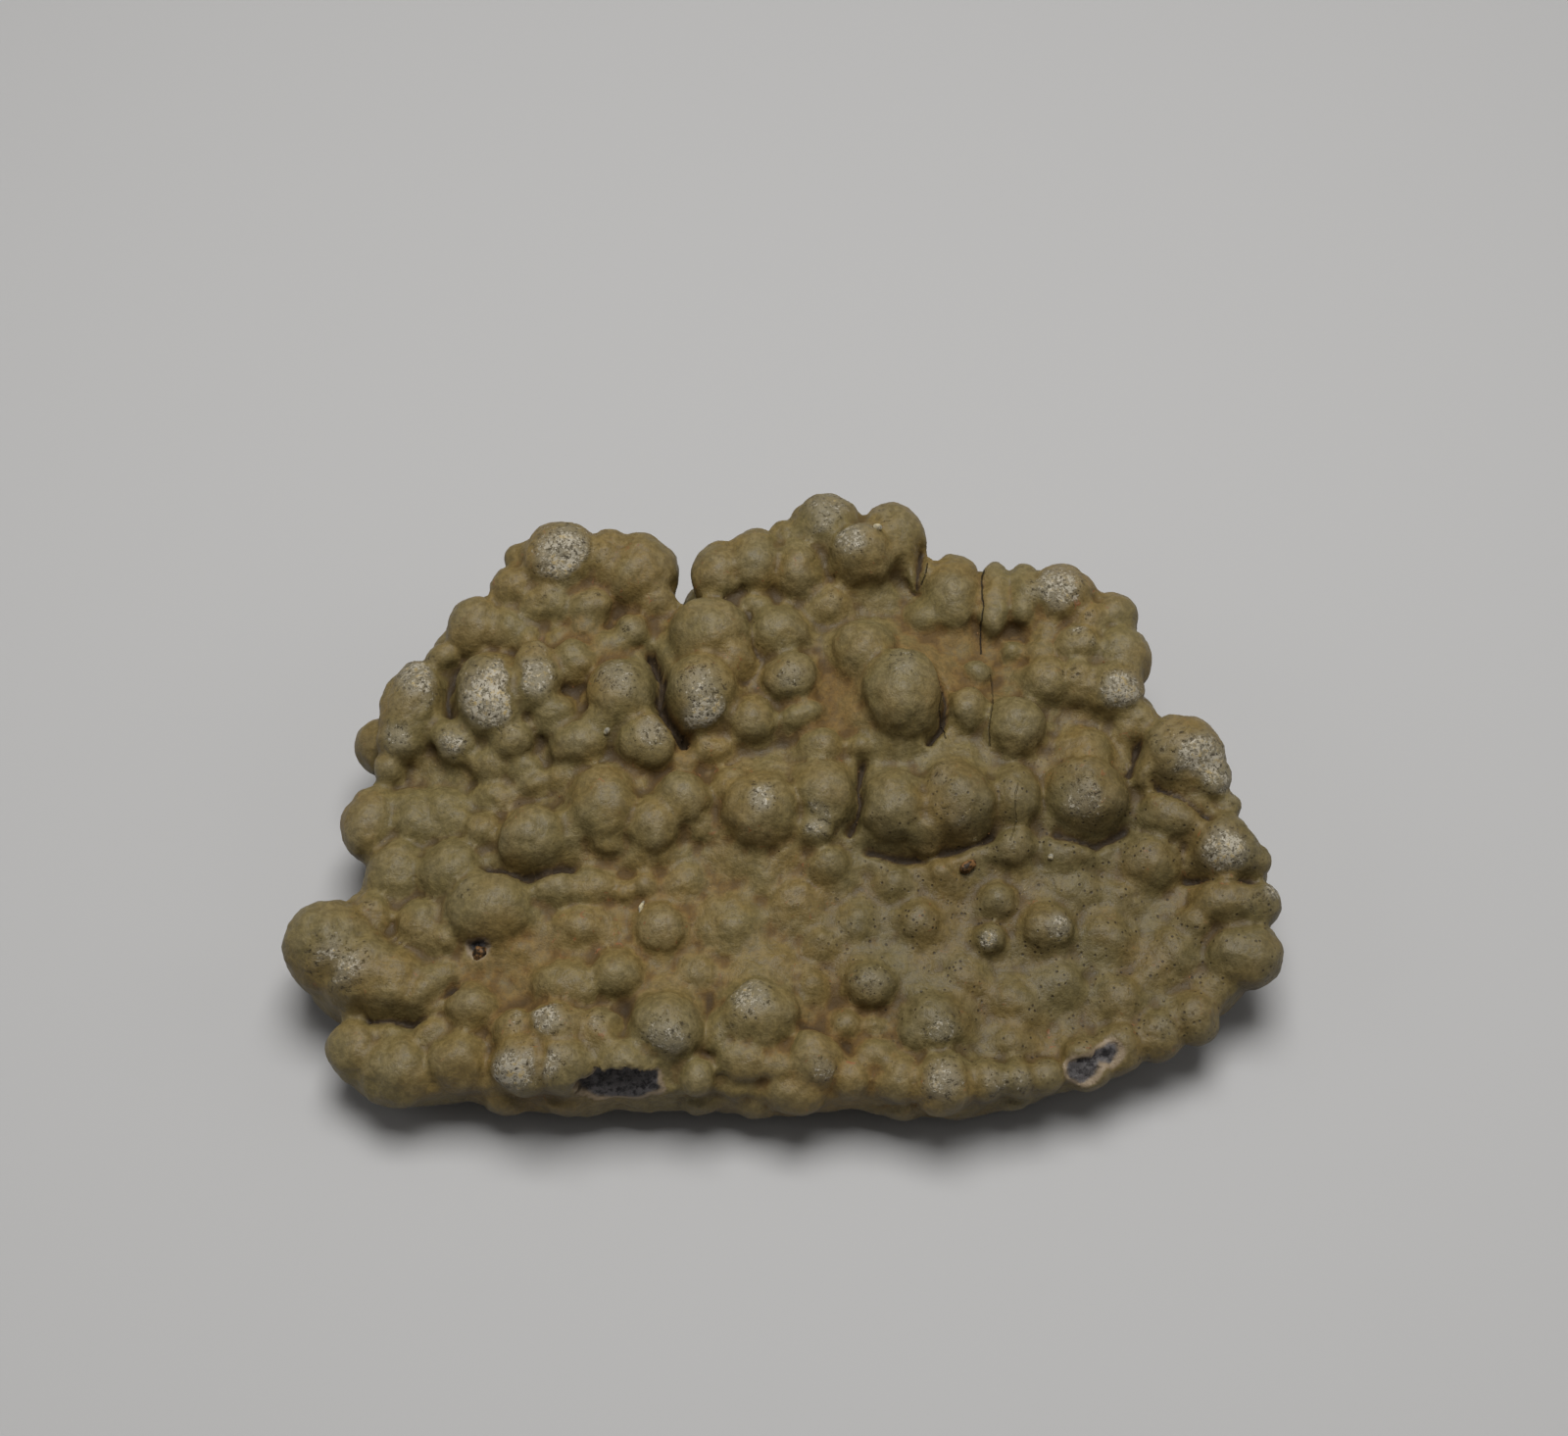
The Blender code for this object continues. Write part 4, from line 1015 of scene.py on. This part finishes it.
def grit_tree(material):
    """Geometry nodes that scatter small grains where the skin's crease mark is strong."""
    tree = bpy.data.node_groups.new("crease_grit", "GeometryNodeTree")
    names = {}
    for name, kind in (("Skin", "Geometry"), ("Density", "Float"), ("Grain size", "Float"), ("Seed", "Int")):
        socket = tree.interface.new_socket(name, in_out="INPUT", socket_type="NodeSocket" + kind)
        names[name] = socket.identifier
    tree.interface.new_socket("Grit", in_out="OUTPUT", socket_type="NodeSocketGeometry")
    n = Nodes(tree)
    given = tree.nodes.new("NodeGroupInput")
    skin, density, size, seed = (Shade(n.make, given.outputs[name]) for name in names)
    crease = n.make("GeometryNodeInputNamedAttribute", {"data_type": "FLOAT"}, {"Name": "crease"})
    under = n.make("GeometryNodeInputNamedAttribute", {"data_type": "FLOAT"}, {"Name": "under"})
    where = (crease - GRIT_CREASE).most(0.0) * (1.0 - under) * density
    points = n.make("GeometryNodeDistributePointsOnFaces", {}, {"Mesh": skin, "Density": where, "Seed": seed})
    grain = n.make("GeometryNodeMeshIcoSphere", {}, {"Radius": size, "Subdivisions": 1})
    scale = n.make("FunctionNodeRandomValue", {"data_type": "FLOAT_VECTOR"},
                   {"Min": GRIT_LEAST, "Max": GRIT_MOST, "Seed": seed})
    turn = n.make("FunctionNodeRandomValue", {"data_type": "FLOAT_VECTOR"},
                  {"Min": (0.0, 0.0, 0.0), "Max": GRIT_TURN, "Seed": GRIT_TURN_SEED})
    laid = n.make("GeometryNodeInstanceOnPoints", {},
                  {"Points": points, "Instance": grain, "Rotation": turn, "Scale": scale})
    real = n.make("GeometryNodeRealizeInstances", {}, {"Geometry": laid})
    done = n.make("GeometryNodeSetMaterial", {}, {"Geometry": real, "Material": material})
    n.make("NodeGroupOutput", {}, {"Grit": done})
    return tree, names


class SPECIMEN_OT_grains(bpy.types.Operator):
    """Set the single grains that are caught between knobs, each half sunk in the skin"""
    bl_idname = "specimen.grains"
    bl_label = "Grains"

    def execute(self, context):
        look = colours_of(context.scene.specimen_finish)
        crust = bpy.data.objects["crust_skin"]
        for colour in ("brown_grain", "pale_grain"):
            lumps = Lumps()
            for (x, y), sizes, turn, kind in GRAINS:
                if kind == colour:
                    start = Vector((x * MM, y * MM, ABOVE_ALL))
                    hit, place, _, _ = crust.ray_cast(start, Vector((0.0, 0.0, -1.0)))
                    if not hit:
                        raise RuntimeError(f"no skin under the grain at {x}, {y}")
                    lumps.add_ball((x, y, place.z / MM + sizes[2] * GRAIN_LIFT), sizes, turn)
            thing = placed(colour, lumps.mesh(colour), grain_material(colour, look))
            displace(thing, *GRAIN_PATTERN)
            rough = evaluated_mesh(thing)
            thing.modifiers.clear()
            thing.data = rough
            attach(thing, BODY)
        return {"FINISHED"}


class SPECIMEN_OT_grit(bpy.types.Operator):
    """Scatter fine grit in the creases"""
    bl_idname = "specimen.grit"
    bl_label = "Grit"

    def execute(self, context):
        settings = context.scene.specimen_grit
        material = grain_material("brown_grain", colours_of(context.scene.specimen_finish))
        tree, names = grit_tree(material)
        holder = bpy.data.objects.new("grit_holder", bpy.data.objects["crust_skin"].data)
        context.scene.collection.objects.link(holder)
        scatter = holder.modifiers.new("crease_grit", "NODES")
        scatter.node_group = tree
        scatter[names["Density"]] = settings.density
        scatter[names["Grain size"]] = settings.size
        scatter[names["Seed"]] = settings.seed
        mesh = evaluated_mesh(holder)
        bpy.data.objects.remove(holder)
        if not mesh.polygons:
            raise RuntimeError("no grit was scattered")
        grit = placed("crease_grit", mesh, material)
        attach(grit, BODY)
        return {"FINISHED"}


class SPECIMEN_OT_stage(bpy.types.Operator):
    """Make the plain floor, the soft lights and the camera"""
    bl_idname = "specimen.stage"
    bl_label = "Stage"

    def execute(self, context):
        settings = context.scene.specimen_stage
        scene = context.scene
        bm = bmesh.new()
        bmesh.ops.create_grid(bm, x_segments=1, y_segments=1, size=FLOOR_HALF)
        mesh = bpy.data.meshes.new("floor")
        bm.to_mesh(mesh)
        bm.free()
        finish = Finish("floor_paper")
        tone = finish.blend(finish.noise(14.0, 3.0) * 0.06, tuple(settings.floor), FLOOR_CLOUD)
        floor = placed("floor", mesh, finish.finish({"Roughness": 0.7}, Base_Color=tone))
        for name, place, size, strength in LIGHTS:
            light = bpy.data.lights.new(name, "AREA")
            light.size = size
            light.energy = getattr(settings, strength)
            lamp = bpy.data.objects.new(name, light)
            lamp.location = place
            lamp.rotation_euler = (-Vector(place)).to_track_quat("-Z", "Y").to_euler()
            scene.collection.objects.link(lamp)
        world = bpy.data.worlds.new("surround")
        world.use_nodes = True
        background = world.node_tree.nodes["Background"]
        background.inputs["Color"].default_value = SURROUND_COLOUR
        background.inputs["Strength"].default_value = settings.surround
        scene.world = world
        right, up, forward = camera_turn()
        lens = bpy.data.cameras.new("camera")
        lens.sensor_width = SENSOR_WIDTH
        lens.lens = SENSOR_WIDTH * FOCAL / PICTURE[0]
        lens.clip_start = NEAREST_SEEN
        camera = bpy.data.objects.new("camera", lens)
        turn = Matrix((right, up, -forward)).transposed().to_4x4()
        camera.matrix_world = Matrix.Translation(Vector(EYE) * MM) @ turn
        scene.collection.objects.link(camera)
        scene.camera = camera
        scene.view_settings.view_transform = "Standard"
        return {"FINISHED"}


class SPECIMEN_PT_panel(bpy.types.Panel):
    """Lists the makers of the specimen"""
    bl_label = "Sphalerite specimen"
    bl_idname = "SPECIMEN_PT_panel"
    bl_space_type = "VIEW_3D"
    bl_region_type = "UI"
    bl_category = "Specimen"

    def draw(self, context):
        for group in (getattr(context.scene, name) for name in GROUPS):
            for name in group.__annotations__:
                self.layout.prop(group, name)
        for operator in OPERATORS:
            self.layout.operator(operator.bl_idname)


OPERATORS = (SPECIMEN_OT_crust, SPECIMEN_OT_grains, SPECIMEN_OT_grit, SPECIMEN_OT_stage)
GROUPS = {"specimen_crust": CrustSettings, "specimen_finish": FinishSettings, "specimen_grit": GritSettings,
          "specimen_stage": StageSettings}


def register():
    for kind in (*GROUPS.values(), *OPERATORS, SPECIMEN_PT_panel):
        bpy.utils.register_class(kind)
    for name, kind in GROUPS.items():
        setattr(bpy.types.Scene, name, bpy.props.PointerProperty(type=kind))


def unregister():
    for name in GROUPS:
        delattr(bpy.types.Scene, name)
    for kind in reversed((*GROUPS.values(), *OPERATORS, SPECIMEN_PT_panel)):
        bpy.utils.unregister_class(kind)


def main():
    register()
    bpy.ops.specimen.crust()
    bpy.ops.specimen.grains()
    bpy.ops.specimen.grit()
    bpy.ops.specimen.stage()


if __name__ == "__main__":
    main()
